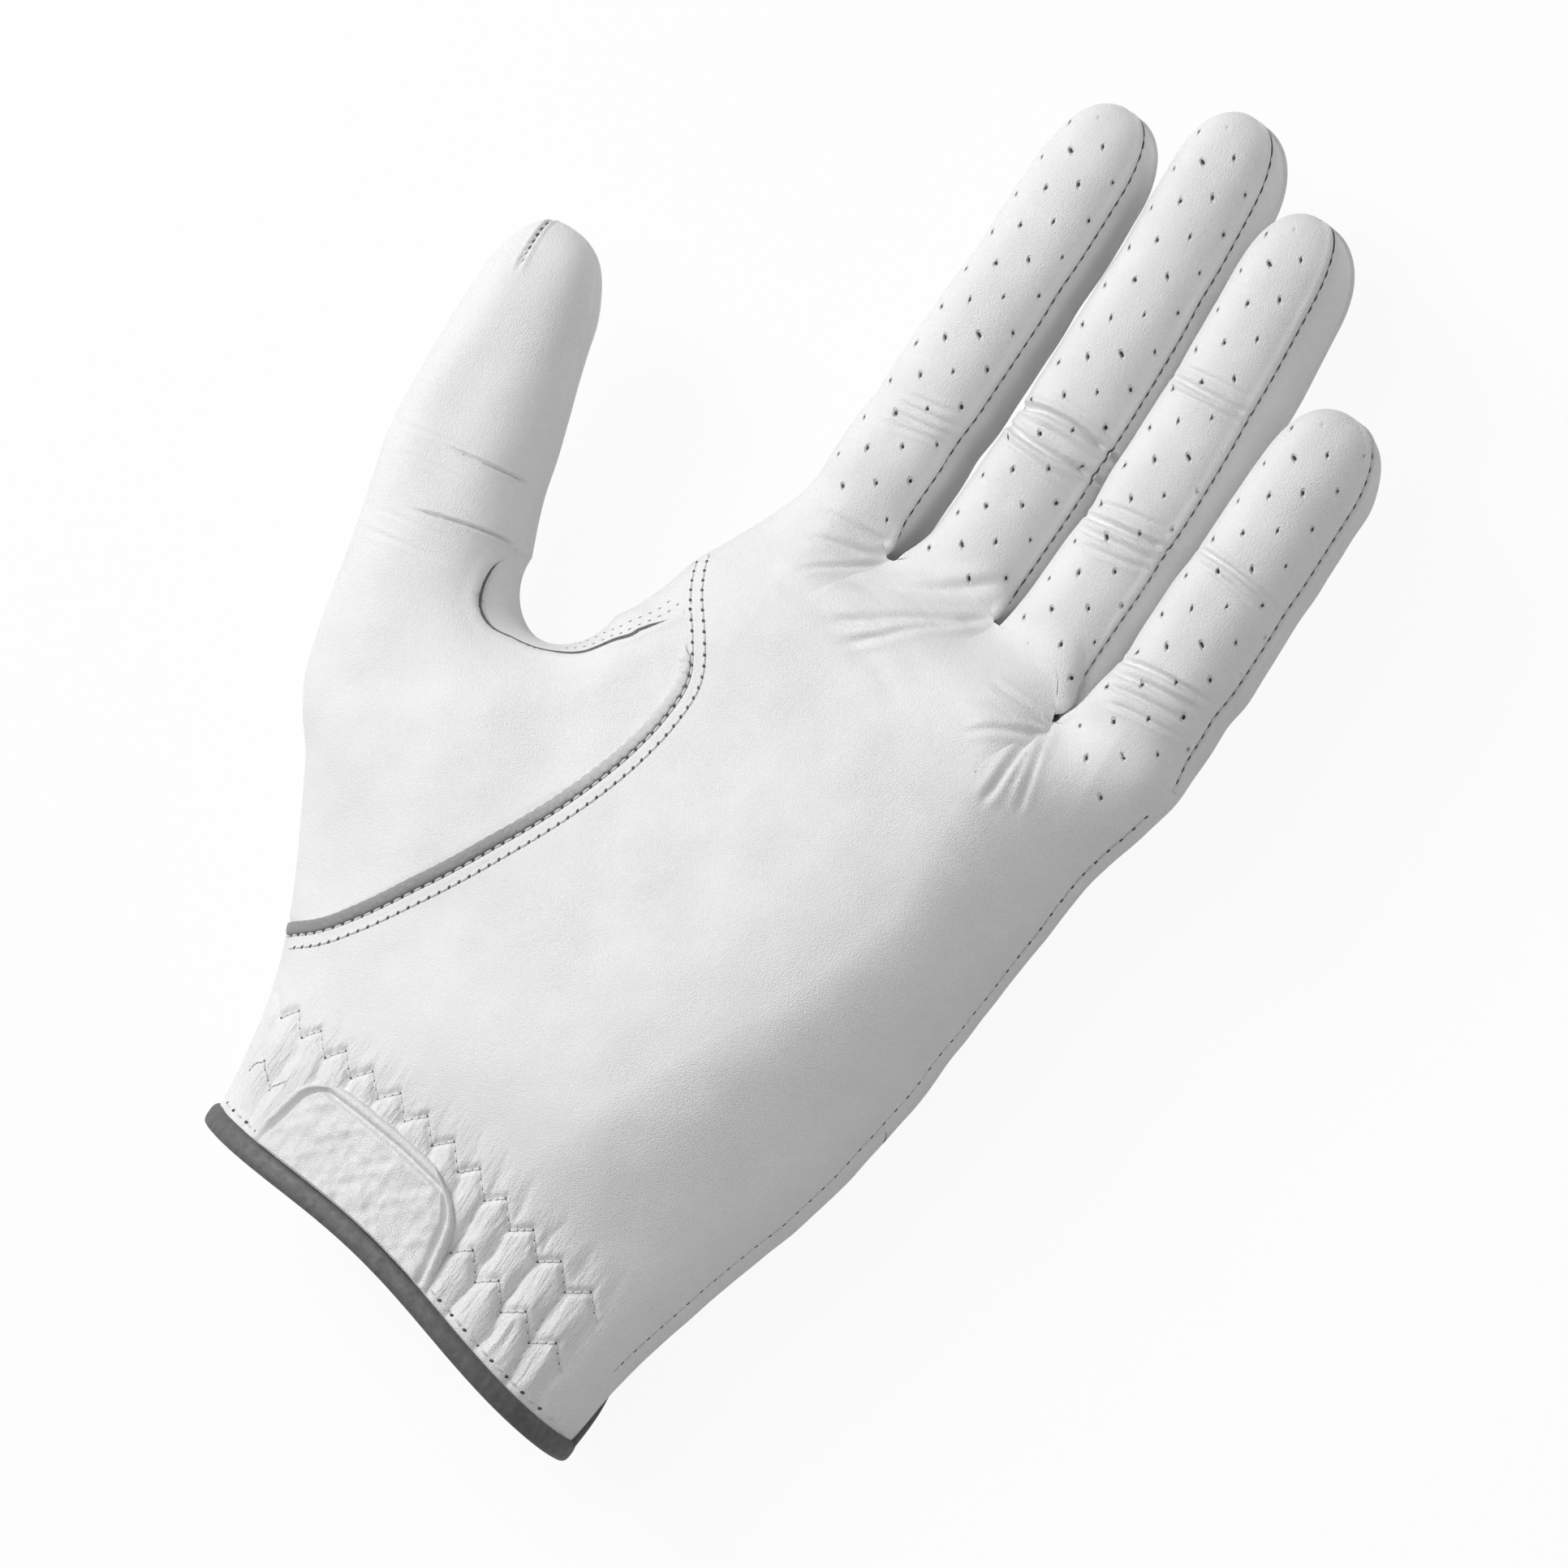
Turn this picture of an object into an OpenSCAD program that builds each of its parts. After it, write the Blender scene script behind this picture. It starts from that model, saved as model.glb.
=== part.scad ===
// Golf glove for the left hand, filled as on a hand, lying palm up.
// X runs to the little finger, Y to the fingertips, Z out of the palm, in mm.

/* [Leather] */
// thickness of the leather
leather = 0.9; // [0.6:0.1:1.3]
// open joint between two panels that are sewn together
seam_gap = 0.2; // [0.15:0.05:0.3]
// open joint between two bodies at a bending crease
crease_gap = 0.5; // [0.4:0.1:0.8]

/* [Fingers] */
// width of each finger
finger_width = 17.6; // [16:0.1:19]
// height of each finger
finger_height = 16.8; // [15:0.1:18]
// space between index and middle finger
gap_index = 1.9; // [1.6:0.1:3]
// space between middle and ring finger
gap_middle = 1.2; // [1:0.1:3]
// space between ring and little finger
gap_ring = 1.6; // [1:0.1:3]
// length of the index finger from its knuckle crease
index_length = 72; // [66:0.5:80]
// length of the middle finger from its knuckle crease
middle_length = 80.5; // [74:0.5:90]
// length of the ring finger from its knuckle crease
ring_length = 75.5; // [68:0.5:84]
// length of the little finger from its knuckle crease
little_length = 59.5; // [54:0.5:68]
// knuckle crease to middle crease, index finger
index_crease = 19; // [16:0.5:24]
// knuckle crease to middle crease, middle finger
middle_crease = 26; // [20:0.5:30]
// knuckle crease to middle crease, ring finger
ring_crease = 21; // [18:0.5:26]
// knuckle crease to middle crease, little finger
little_crease = 14; // [12:0.5:20]

/* [Hand] */
// full height of the hand at the thick of the palm
palm_height = 31; // [26:0.5:36]
// full height of the opening at the wrist
wrist_height = 34; // [28:0.5:40]
// full height of the thumb at its base
thumb_height = 25; // [22:0.5:28]
// thumb crease to thumb tip
thumb_length = 35.5; // [30:0.5:42]

/* [Trim] */
// width of the cuff binding
binding_width = 2.8; // [2:0.1:4]
// thickness of the cuff binding
binding_thick = 0.8; // [0.5:0.1:1.2]
// width of the open slit on the back of the wrist
slit_width = 2.6; // [2:0.1:4]
// length of the slit from the cuff edge
slit_length = 52; // [40:1:60]
// diameter of the piping on the thumb seam
piping_diameter = 1.7; // [1.2:0.1:2.4]
// length of the palm patch along the cuff
patch_length = 33; // [28:0.5:38]
// length of the palm patch at its upper edge
patch_top = 24; // [20:0.5:27]
// height of the palm patch from the binding
patch_width = 12.5; // [10:0.5:15]
// thickness of the palm patch
patch_thick = 1.2; // [0.8:0.1:1.8]
// width of the elastic band inside the wrist
elastic_width = 10; // [7:0.5:12]
// thickness of the elastic band
elastic_thick = 0.8; // [0.5:0.1:1.2]

/* [Closure] */
// length of the tab across the back of the wrist
tab_length = 47; // [38:0.5:54]
// width of the tab along the wrist
tab_width = 26; // [22:0.5:28]
// thickness of the tab's leather
tab_thick = 1.4; // [1:0.1:2]
// thickness of the hook pad and of the loop pad
pad_thick = 1.1; // [0.8:0.1:1.5]
// rim of the tab left free around the hook pad
pad_rim = 3; // [2:0.5:5]
// play between the hook pad and the loop pad
pad_play = 0.3; // [0.2:0.1:0.5]

/* [Hidden] */

$fn = 32;
tiny = 0.001;

// roundness of the finger and palm sections (2 is an ellipse)
bulge = 2.4;

// finger rows: index, middle, ring, little
reach = [index_length, middle_length, ring_length, little_length];
crease = [index_crease, middle_crease, ring_crease, little_crease];
knuckle_y = [38, 39, 37, 31.5];
// height of each finger's middle above the palm's middle plane
lift = [3, 0, 2.5, 6.5];
// sideways lean of each fingertip towards the thumb
lean = [1.5, 5, 5, 1.2];
half_w = finger_width / 2;
half_h = finger_height / 2;
middle_x = 6.8;
ring_x = middle_x + finger_width + gap_middle;
finger_x = [
    middle_x - finger_width - gap_index,
    middle_x,
    ring_x,
    ring_x + finger_width + gap_ring
];
// lowest points of the three finger crotches
crotch_y = [35.7, 36.8, 29.5];

// cuff, web and thumb stations along Y
cuff_outer_y = -99;
cuff_inner_y = -89;
cuff_dip = 2.6;
// the web's rim has a round bottom
web_round = 8.6;
web_mid = [-44.4, 5.4];
web_y = web_mid[1] - web_round;
web_x = web_mid[0];
// depth over which the palm's edges and the thumb's edges round off
span_palm = 38;
span_web = 13.5;
seam_low_y = -60;
seam_top_y = 19.5;
thumb_crease_y = 14;
thumb_tip_y = thumb_crease_y + thumb_length;
thumb_lift = 2;

// outlines as [y, x] stations, measured on the photo
outer_edge = [
    [-101, 31.4], [-85, 32.6], [-68, 36.4], [-50, 41.7], [-34, 44.6], [-18, 45.7],
    [-3, 46.4], [12, 48.2], [knuckle_y[3] - 2, finger_x[3] + half_w],
    [knuckle_y[3] + 8, finger_x[3] + half_w]
];
inner_edge = [
    [-101, -41], [-78, -43.8], [-69, -45.8], [-60, -49.6], [-39, -62.4], [-27, -71],
    [-6, -77.1], [11, -82], [27.5, -83.8], [thumb_tip_y, -85.5]
];
web_edge = [
    [web_y, web_x], [-1.5, -39.8], [web_mid[1], web_x + web_round], [12, -32.2], [20, -29.4],
    [30, finger_x[0] - half_w - 3], [knuckle_y[0], finger_x[0] - half_w],
    [knuckle_y[0] + 8, finger_x[0] - half_w]
];
thumb_edge = [
    [web_y, web_x], [-1.5, -49.4], [web_mid[1], web_x - web_round], [14, -56.6], [23.4, -60],
    [thumb_tip_y, -66.5]
];
thenar_seam = [
    [seam_low_y, -49.4], [-43, -35.4], [-26, -24], [-10.6, -18.2], [1.7, -17.3],
    [8.8, -20.5], [14, -25], [seam_top_y, -29.3]
];
// half height of the hand, and the height of its middle, as [y, value] stations
hand_half = [
    [-101, wrist_height / 2], [-75, palm_height / 2], [-25, palm_height / 2],
    [0, palm_height / 2 - 1], [40, palm_height / 2 - 4.5]
];
hand_mid = [[-101, 2], [-75, 0.5], [-25, 0.5], [0, 0], [40, 0]];
thumb_half = [
    [web_y, thumb_height / 2], [thumb_crease_y, thumb_height / 2 - 1.6],
    [thumb_tip_y, thumb_height / 2 - 5]
];

// closure layers under the back, measured from the leather's face
loop_low = seam_gap;
loop_high = loop_low + pad_thick;
hook_low = loop_high + pad_play;
hook_high = hook_low + pad_thick;
tab_low = hook_high + seam_gap;
tab_high = tab_low + tab_thick;
tab_mid_y = -62;
// the tab's sewn end, from the hand's outer edge
tab_root = 3;
// length over which the tab rises from its sewn end to the pads
tab_rise = 4.7;
// the slit's distance from the outer edge at the cuff and at its closed end
slit_near = 2.4;
slit_far = 16;
slit_top_y = cuff_outer_y + slit_length;
// length over which the back panel closes again past the slit
slit_close = 14;
// middle of the elastic from the cuff edge, and middle of the patch
elastic_mid = 21;
patch_x = -10;
patch_rows = 8;
patch_columns = 10;

// the frame's origin: middle of the box in X and Y, lowest point in Z
origin_x = (finger_x[3] + half_w + spline(inner_edge, thumb_tip_y - 9)) / 2;
origin_y = (knuckle_y[1] + middle_length + cuff_outer_y - binding_thick) / 2;
origin_z = palm_height / 2 - hand_mid[1][1] + seam_gap / 2 + tab_high;

// smooth helpers
function smooth(a, b, x) =
    let (t = max(0, min(1, (x - a) / (b - a)))) t * t * (3 - 2 * t);
function mix(a, b, t) = a + (b - a) * t;
function oval(u) = pow(max(0, 1 - pow(abs(u), bulge)), 1 / bulge);
function slope(s, i) =
    i == 0 ? (s[1][1] - s[0][1]) / (s[1][0] - s[0][0]) :
    i == len(s) - 1 ? (s[i][1] - s[i - 1][1]) / (s[i][0] - s[i - 1][0]) :
    (s[i + 1][1] - s[i - 1][1]) / (s[i + 1][0] - s[i - 1][0]);
function segment(s, y, i = 0) = i >= len(s) - 2 || y < s[i + 1][0] ? i : segment(s, y, i + 1);
// cubic curve through the stations, held level past both ends
function spline(s, y0) =
    let (
        y = max(s[0][0], min(s[len(s) - 1][0], y0)),
        i = segment(s, y),
        d = s[i + 1][0] - s[i][0],
        t = (y - s[i][0]) / d,
        m0 = slope(s, i) * d,
        m1 = slope(s, i + 1) * d
    )
    (2 * t * t * t - 3 * t * t + 1) * s[i][1] + (t * t * t - 2 * t * t + t) * m0
    + (3 * t * t - 2 * t * t * t) * s[i + 1][1] + (t * t * t - t * t) * m1;

// columns across the hand: lobe_steps per finger, closer together at each finger's sides
lobe_steps = 6;
columns = 4 * lobe_steps;
function lobe_of(k) = min(3, floor(k / lobe_steps));
function lobe_at(k) = k / lobe_steps - lobe_of(k);
function lobe_x(k) =
    let (
        i = 3 - lobe_of(k),
        hi = i == 3 ? finger_x[3] + half_w : (finger_x[i] + finger_x[i + 1]) / 2,
        lo = i == 0 ? finger_x[0] - half_w : (finger_x[i] + finger_x[i - 1]) / 2
    )
    (hi + lo) / 2 + (hi - lo) / 2 * cos(180 * lobe_at(k));
share = [for (k = [0:columns])
    (lobe_x(0) - lobe_x(k)) / (lobe_x(0) - lobe_x(columns))];
function lobe_height(k) = oval(cos(180 * lobe_at(k)));
function arch(x) = spline([for (i = [0:3]) [finger_x[i], lift[i]]], x);

// rounded edge: 0 at the edge itself, 1 from the depth of the rounding on
function edge(d, depth) = oval(1 - max(0, min(1, d / depth)));
// distance from the rim of the web: a round bottom, then the sides of palm and thumb
function web_way(x, y) =
    y < web_mid[1] ? norm([x, y] - web_mid) - web_round :
    x > web_mid[0] ? x - spline(web_edge, y) : spline(thumb_edge, y) - x;
// half height of the hand at a point of the plan, falling to 0 at every edge
function hand_rise(x, y) =
    let (
        thumb = smooth(web_mid[0] + 14, web_mid[0] - 14, x) * smooth(-45, web_y, y),
        on_thumb = y >= web_mid[1] && x < web_mid[0],
        span = (spline(thumb_edge, y) - spline(inner_edge, y)) / 2,
        outer = spline(outer_edge, y) - x,
        inner = x - spline(inner_edge, y),
        web_depth = x > web_mid[0] ? mix(span_web, span_palm, smooth(0, 34, y)) : span_web,
        h = mix(spline(hand_half, y), spline(thumb_half, y), thumb)
    )
    on_thumb ? h * edge(inner, span) * edge(web_way(x, y), span) :
    h * edge(outer, span_palm)
    * (y > web_mid[1] ? 1 : edge(inner, mix(span_palm, span_web, smooth(-60, web_y, y))))
    * (y < web_mid[1] - span_web - web_round ? 1 : edge(web_way(x, y), web_depth));
function palm_mid(x, y) =
    mix(mix(spline(hand_mid, y), arch(x), smooth(0, 36, y)), thumb_lift,
        smooth(web_mid[0] + 14, web_mid[0] - 14, x) * smooth(-50, web_y, y));
// the cuff's edge slants, and is cut back a little in the middle of the palm
function cuff_share(x) = (outer_edge[0][1] - x) / (outer_edge[0][1] - inner_edge[0][1]);
function cuff_y(x) =
    mix(cuff_outer_y, cuff_inner_y, cuff_share(x))
    + cuff_dip * pow(sin(180 * max(0, min(1, cuff_share(x)))), 2);

// point of the palm (side 1) or of the back (side -1), with the finger lobes near the crotches
function hand_point(x, y, side, lobe, near) =
    [x, y, palm_mid(x, y) + side * (seam_gap / 2
        + mix(hand_rise(x, y), half_h * lobe, near))];
function end_y(k) =
    k > 0 && k < columns && k % lobe_steps == 0
    ? crotch_y[3 - k / lobe_steps]
    : knuckle_y[3 - lobe_of(k)] - crease_gap / 2;

// a sheet of leather: rows of points, thickened inwards within each row's own section
function flat(n) = let (l = sqrt(n[0] * n[0] + n[2] * n[2])) l < tiny ? [0, 0, 0] : n / l;
// at an end that lies on the hand's outline the normal is level, so that the two faces
// of the hand meet there without crossing
function row_normal(r, k) =
    let (
        a = r[max(0, k - 1)],
        b = r[min(len(r) - 1, k + 1)],
        d = b - a,
        n = flat([d[2], 0, -d[0]]),
        at_end = k == 0 || k == len(r) - 1
    )
    at_end && abs(r[k][2] - palm_mid(r[k][0], r[k][1])) < seam_gap ? [sign(n[0]), 0, 0] : n;
function lifted(rows, d) =
    [for (r = rows) [for (k = [0:len(r) - 1]) r[k] + d * row_normal(r, k)]];
module sheet(outer, inner) {
    n = len(outer);
    m = len(outer[0]);
    half = n * m;
    points = concat([for (r = outer) for (p = r) p], [for (r = inner) for (p = r) p]);
    function quad(a, b, c, d) = [[a, b, c], [a, c, d]];
    faces = concat(
        [for (i = [0:n - 2]) for (k = [0:m - 2]) for (f = quad(
            i * m + k, i * m + k + 1, (i + 1) * m + k + 1, (i + 1) * m + k)) f],
        [for (i = [0:n - 2]) for (k = [0:m - 2]) for (f = quad(
            half + (i + 1) * m + k, half + (i + 1) * m + k + 1,
            half + i * m + k + 1, half + i * m + k)) f],
        [for (k = [0:m - 2]) for (f = quad(half + k, half + k + 1, k + 1, k)) f],
        [for (k = [0:m - 2]) for (f = quad(
            (n - 1) * m + k, (n - 1) * m + k + 1,
            half + (n - 1) * m + k + 1, half + (n - 1) * m + k)) f],
        [for (i = [0:n - 2]) for (f = quad(
            i * m, (i + 1) * m, half + (i + 1) * m, half + i * m)) f],
        [for (i = [0:n - 2]) for (f = quad(
            half + i * m + m - 1, half + (i + 1) * m + m - 1,
            (i + 1) * m + m - 1, i * m + m - 1)) f]
    );
    polyhedron(points, faces, convexity = 8);
}
// rows that run from the outer side to the thumb side on the palm have this turn
module skin(rows, side) {
    in = lifted(rows, -side * leather);
    if (side > 0) sheet(rows, in);
    else sheet(in, rows);
}
module seat() {
    translate([-origin_x, -origin_y, origin_z]) children();
}

// palm and back
function palm_limit(y) =
    y < seam_low_y ? spline(inner_edge, y) :
    y > seam_top_y ? spline(web_edge, y) :
    spline(thenar_seam, y) + seam_gap / 2;
hand_rows = 18;
function row_at(j) = let (t = j / hand_rows) mix(t, 1 - (1 - t) * (1 - t), 0.35);
function panel_rows(side, limit_out) = [for (j = [0:hand_rows]) [for (k = [0:columns])
    let (
        f = share[k],
        x0 = mix(spline(outer_edge, cuff_outer_y), spline(inner_edge, cuff_inner_y), f),
        y = mix(cuff_y(x0), end_y(k), row_at(j)),
        xo = limit_out ? slit_side(y) : spline(outer_edge, y),
        x = mix(xo, palm_limit(y), f),
        near = 1 - smooth(1.5, 16, knuckle_y[3 - lobe_of(k)] - y)
    )
    hand_point(x, y, side, lobe_height(k), near)]];
function slit_line(y) =
    spline(outer_edge, y)
    - mix(slit_near, slit_far, max(0, min(1, (y - cuff_outer_y) / slit_length)));
function slit_side(y) =
    mix(slit_line(y) - slit_width, spline(outer_edge, y),
        smooth(slit_top_y, slit_top_y + slit_close, y));
module palm_panel() {
    color("white") seat() skin(panel_rows(1, false), 1);
}
module back_panel() {
    color("whitesmoke") seat() skin(panel_rows(-1, true), -1);
}
// the back's strip on the little finger's side of the slit, up to where the slit closes;
// its rows are the back panel's own rows, so that the two edges stay apart
strip_rows = 7;
strip_columns = 6;
strip_gap = 3 * seam_gap;
function strip_low(y) =
    mix(slit_line(y), slit_side(y) + strip_gap, smooth(slit_top_y - 2, slit_top_y + 4, y));
module back_strip() {
    color("gainsboro") seat() skin([for (j = [0:strip_rows]) [for (k = [0:strip_columns])
        let (
            y = mix(cuff_outer_y, end_y(0), row_at(j)),
            x = mix(strip_low(y), spline(outer_edge, y), sin(90 * k / strip_columns))
        )
        hand_point(x, max(y, cuff_y(x)), -1, 0, 0)]], 1);
}

// thumb: the thenar part wraps the thumb side, then closes to a tube past the web
thumb_columns = 18;
gusset_low_y = -12;
// stations along Y: a list of limits, and the number of steps between each pair
function stations(limits, steps) = concat(
    [for (i = [0:len(steps) - 1]) for (j = [0:steps[i] - 1])
        mix(limits[i], limits[i + 1], j / steps[i])],
    [limits[len(limits) - 1]]);
function thumb_limit(y) =
    (y < gusset_low_y ? spline(thenar_seam, y) :
    y < web_y ? mix(spline(thenar_seam, gusset_low_y), web_x,
        (y - gusset_low_y) / (web_y - gusset_low_y)) :
    spline(thumb_edge, y)) - seam_gap / 2;
function thumb_ring(y) = [for (k = [0:thumb_columns])
    let (
        a = 180 * k / thumb_columns,
        u = mix(sin(a), (1 - cos(2 * a)) / 2, smooth(-30, web_y - 3, y)),
        x = mix(thumb_limit(y), spline(inner_edge, y), u)
    )
    hand_point(x, y, k * 2 <= thumb_columns ? 1 : -1, 0, 0)];
module thumb_base() {
    ys = stations([seam_low_y + 3, gusset_low_y, web_y, thumb_crease_y - crease_gap / 2], [9, 4, 5]);
    rows = [for (y = ys) thumb_ring(y)];
    color("ivory") seat() skin(rows, 1);
}
// finger and thumb tubes: an oval section, drawn to a rounded tip
tip_rows = 8;
tip_round = 12.5;
// angle left open at each side of a seam
seam_angle = 0.35;
function power(v) = sign(v) * pow(abs(v), 2 / bulge);
function tip_scale(y, tip) =
    y < tip - tip_round ? 1 : oval((y - tip + tip_round) / tip_round * 0.9998);
function tip_y(y0, tip, t) =
    let (split = 0.4)
    t < split ? mix(y0, tip - tip_round, t / split)
    : tip - tip_round + tip_round * sin(90 * (t - split) / (1 - split));
function oval_point(c, a, h, y, angle) =
    [c[0] + a * power(cos(angle)), y, c[1] + h * power(sin(angle))];
function thumb_row(y, tip, wall) =
    let (
        s = tip_scale(y, tip),
        xo = spline(thumb_edge, y),
        xi = spline(inner_edge, y)
    )
    [for (k = [0:thumb_columns]) oval_point(
        [(xo + xi) / 2, thumb_lift], s * ((xo - xi) / 2 - wall), s * (spline(thumb_half, y) - wall),
        y, mix(seam_angle, 360 - seam_angle, k / thumb_columns))];
module thumb_end() {
    y0 = thumb_crease_y + crease_gap / 2;
    outer = [for (j = [0:tip_rows])
        thumb_row(tip_y(y0, thumb_tip_y, j / tip_rows), thumb_tip_y, 0)];
    inner = [for (j = [0:tip_rows])
        thumb_row(tip_y(y0, thumb_tip_y - leather, j / tip_rows), thumb_tip_y - leather, leather)];
    color("ivory") seat() sheet(outer, inner);
}

// fingers: i counts from the index, walls are sectors of the section
function finger_mid(i, y) =
    let (t = (y - knuckle_y[i]) / reach[i])
    [finger_x[i] - lean[i] * pow(max(0, (t - 0.2) / 0.8), 1.7), lift[i]];
function finger_row(i, y, tip, wall, from, to, steps) =
    let (
        s = tip_scale(y, tip),
        t = (y - knuckle_y[i]) / reach[i],
        taper = 1 - 0.11 * t * t
    )
    [for (k = [0:steps]) oval_point(
        finger_mid(i, y), s * (half_w * taper - wall), s * (half_h * taper - wall),
        y, mix(from + seam_angle, to - seam_angle, k / steps))];
base_rows = 2;
module finger_base(i, from, to, steps) {
    y0 = knuckle_y[i] + crease_gap / 2;
    y1 = knuckle_y[i] + crease[i] - crease_gap / 2;
    tip = knuckle_y[i] + reach[i];
    function rows(wall) = [for (j = [0:base_rows])
        finger_row(i, mix(y0, y1, j / base_rows), tip, wall, from, to, steps)];
    seat() sheet(rows(0), rows(leather));
}
module finger_end(i, from, to, steps) {
    y0 = knuckle_y[i] + crease[i] + crease_gap / 2;
    tip = knuckle_y[i] + reach[i];
    function rows(wall) = [for (j = [0:tip_rows])
        finger_row(i, tip_y(y0, tip - wall, j / tip_rows), tip - wall, wall, from, to, steps)];
    seat() sheet(rows(0), rows(leather));
}
// angles of the seams around a finger, from its outer side over the palm
seam_outer = 25;
seam_inner = 155;
seam_wrap = 200;
wide = 7;
slim = 3;
module index_base_palm() { color("white") finger_base(0, seam_outer, seam_wrap, wide + 3); }
module index_base_back() { color("whitesmoke") finger_base(0, seam_wrap, 360 - seam_outer, wide); }
module index_base_outer() { color("lightgray") finger_base(0, -seam_outer, seam_outer, slim); }
module index_end_palm() { color("white") finger_end(0, seam_outer, seam_wrap, wide + 3); }
module index_end_back() { color("whitesmoke") finger_end(0, seam_wrap, 360 - seam_outer, wide); }
module index_end_outer() { color("lightgray") finger_end(0, -seam_outer, seam_outer, slim); }
module middle_base_palm() { color("white") finger_base(1, seam_outer, seam_inner, wide); }
module middle_base_back() { color("whitesmoke") finger_base(1, 360 - seam_inner, 360 - seam_outer, wide); }
module middle_base_inner() { color("lightgray") finger_base(1, seam_inner, 360 - seam_inner, slim); }
module middle_base_outer() { color("lightgray") finger_base(1, -seam_outer, seam_outer, slim); }
module middle_end_palm() { color("white") finger_end(1, seam_outer, seam_inner, wide); }
module middle_end_back() { color("whitesmoke") finger_end(1, 360 - seam_inner, 360 - seam_outer, wide); }
module middle_end_inner() { color("lightgray") finger_end(1, seam_inner, 360 - seam_inner, slim); }
module middle_end_outer() { color("lightgray") finger_end(1, -seam_outer, seam_outer, slim); }
module ring_base_palm() { color("white") finger_base(2, seam_outer, seam_inner, wide); }
module ring_base_back() { color("whitesmoke") finger_base(2, 360 - seam_inner, 360 - seam_outer, wide); }
module ring_base_inner() { color("lightgray") finger_base(2, seam_inner, 360 - seam_inner, slim); }
module ring_base_outer() { color("lightgray") finger_base(2, -seam_outer, seam_outer, slim); }
module ring_end_palm() { color("white") finger_end(2, seam_outer, seam_inner, wide); }
module ring_end_back() { color("whitesmoke") finger_end(2, 360 - seam_inner, 360 - seam_outer, wide); }
module ring_end_inner() { color("lightgray") finger_end(2, seam_inner, 360 - seam_inner, slim); }
module ring_end_outer() { color("lightgray") finger_end(2, -seam_outer, seam_outer, slim); }
module little_base_palm() { color("white") finger_base(3, 0, seam_inner, wide + 2); }
module little_base_back() { color("whitesmoke") finger_base(3, 360 - seam_inner, 360, wide + 2); }
module little_base_inner() { color("lightgray") finger_base(3, seam_inner, 360 - seam_inner, slim); }
module little_end_palm() { color("white") finger_end(3, 0, seam_inner, wide + 2); }
module little_end_back() { color("whitesmoke") finger_end(3, 360 - seam_inner, 360, wide + 2); }
module little_end_inner() { color("lightgray") finger_end(3, seam_inner, 360 - seam_inner, slim); }

// web gusset: one strip of leather that folds over the rim of the web, from the thenar
// seam on the palm to the same seam on the back
gusset_rows = 10;
gusset_half = 7;
function gusset_row(u) =
    let (
        ya = mix(gusset_low_y + 2 * seam_gap, seam_top_y - 1.5, u),
        yb = mix(web_y + seam_gap, seam_top_y - 1.5, u),
        a = [palm_limit(ya) - seam_gap, ya],
        b = [spline(web_edge, yb), yb]
    )
    [for (k = [0:2 * gusset_half])
        let (p = mix(a, b, sin(90 * (1 - abs(k / gusset_half - 1)))))
        hand_point(p[0], p[1], k <= gusset_half ? 1 : -1, 0, 0)];
module web_gusset() {
    color("lightgray") seat() skin([for (j = [0:gusset_rows]) gusset_row(j / gusset_rows)], 1);
}

// piping: a round strip that lies on the thenar seam
piping_points = 24;
piping_sides = 8;
function on_palm(x, y) = hand_point(x, y, 1, 0, 0);
function unit(v) = v / norm(v);
function palm_normal(x, y) = unit(cross(
    on_palm(x + 0.2, y) - on_palm(x - 0.2, y), on_palm(x, y + 0.2) - on_palm(x, y - 0.2)));
function piping_at(t) =
    let (y = mix(seam_low_y + 4, seam_top_y - 4, t), x = spline(thenar_seam, y))
    on_palm(x, y) + (piping_diameter / 2 + seam_gap) * palm_normal(x, y);
module thumb_piping() {
    rings = [for (j = [0:piping_points])
        let (
            t = j / piping_points,
            y = mix(seam_low_y + 4, seam_top_y - 4, t),
            along = unit(piping_at(min(1, t + 0.01)) - piping_at(max(0, t - 0.01))),
            up = palm_normal(spline(thenar_seam, y), y),
            across = unit(cross(along, up)),
            high = cross(across, along)
        )
        [for (k = [0:piping_sides - 1]) piping_at(t) + piping_diameter / 2
            * (cos(360 * k / piping_sides) * high + sin(360 * k / piping_sides) * across)]];
    m = piping_sides;
    last = piping_points * m;
    faces = concat(
        [for (j = [0:piping_points - 1]) for (k = [0:m - 1]) for (f = [
            [j * m + k, j * m + (k + 1) % m, (j + 1) * m + (k + 1) % m],
            [j * m + k, (j + 1) * m + (k + 1) % m, (j + 1) * m + k]]) f],
        [[for (k = [0:m - 1]) m - 1 - k]],
        [[for (k = [0:m - 1]) last + k]]
    );
    color("silver") seat() polyhedron([for (r = rings) for (p = r) p], faces, convexity = 8);
}

// cuff binding: a band over the cuff edge, from the outer seam round the thumb side to the slit
cuff_steps = 22;
function cuff_row(dy) = concat(
    [for (k = [0:cuff_steps])
        let (x = mix(spline(outer_edge, cuff_outer_y), spline(inner_edge, cuff_inner_y),
            (1 - cos(180 * k / cuff_steps)) / 2))
        hand_point(x, cuff_y(x) + dy, 1, 0, 0)],
    [for (k = [1:cuff_steps])
        let (x = mix(spline(inner_edge, cuff_inner_y), slit_line(cuff_outer_y) - slit_width,
            1 - cos(90 * k / cuff_steps)))
        hand_point(x, cuff_y(x) + dy, -1, 0, 0)]
);
module cuff_binding() {
    rows = [for (dy = [-binding_thick, binding_width / 2, binding_width]) cuff_row(dy)];
    color("dimgray") seat()
        sheet(lifted(rows, seam_gap + binding_thick), lifted(rows, seam_gap));
}
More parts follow.
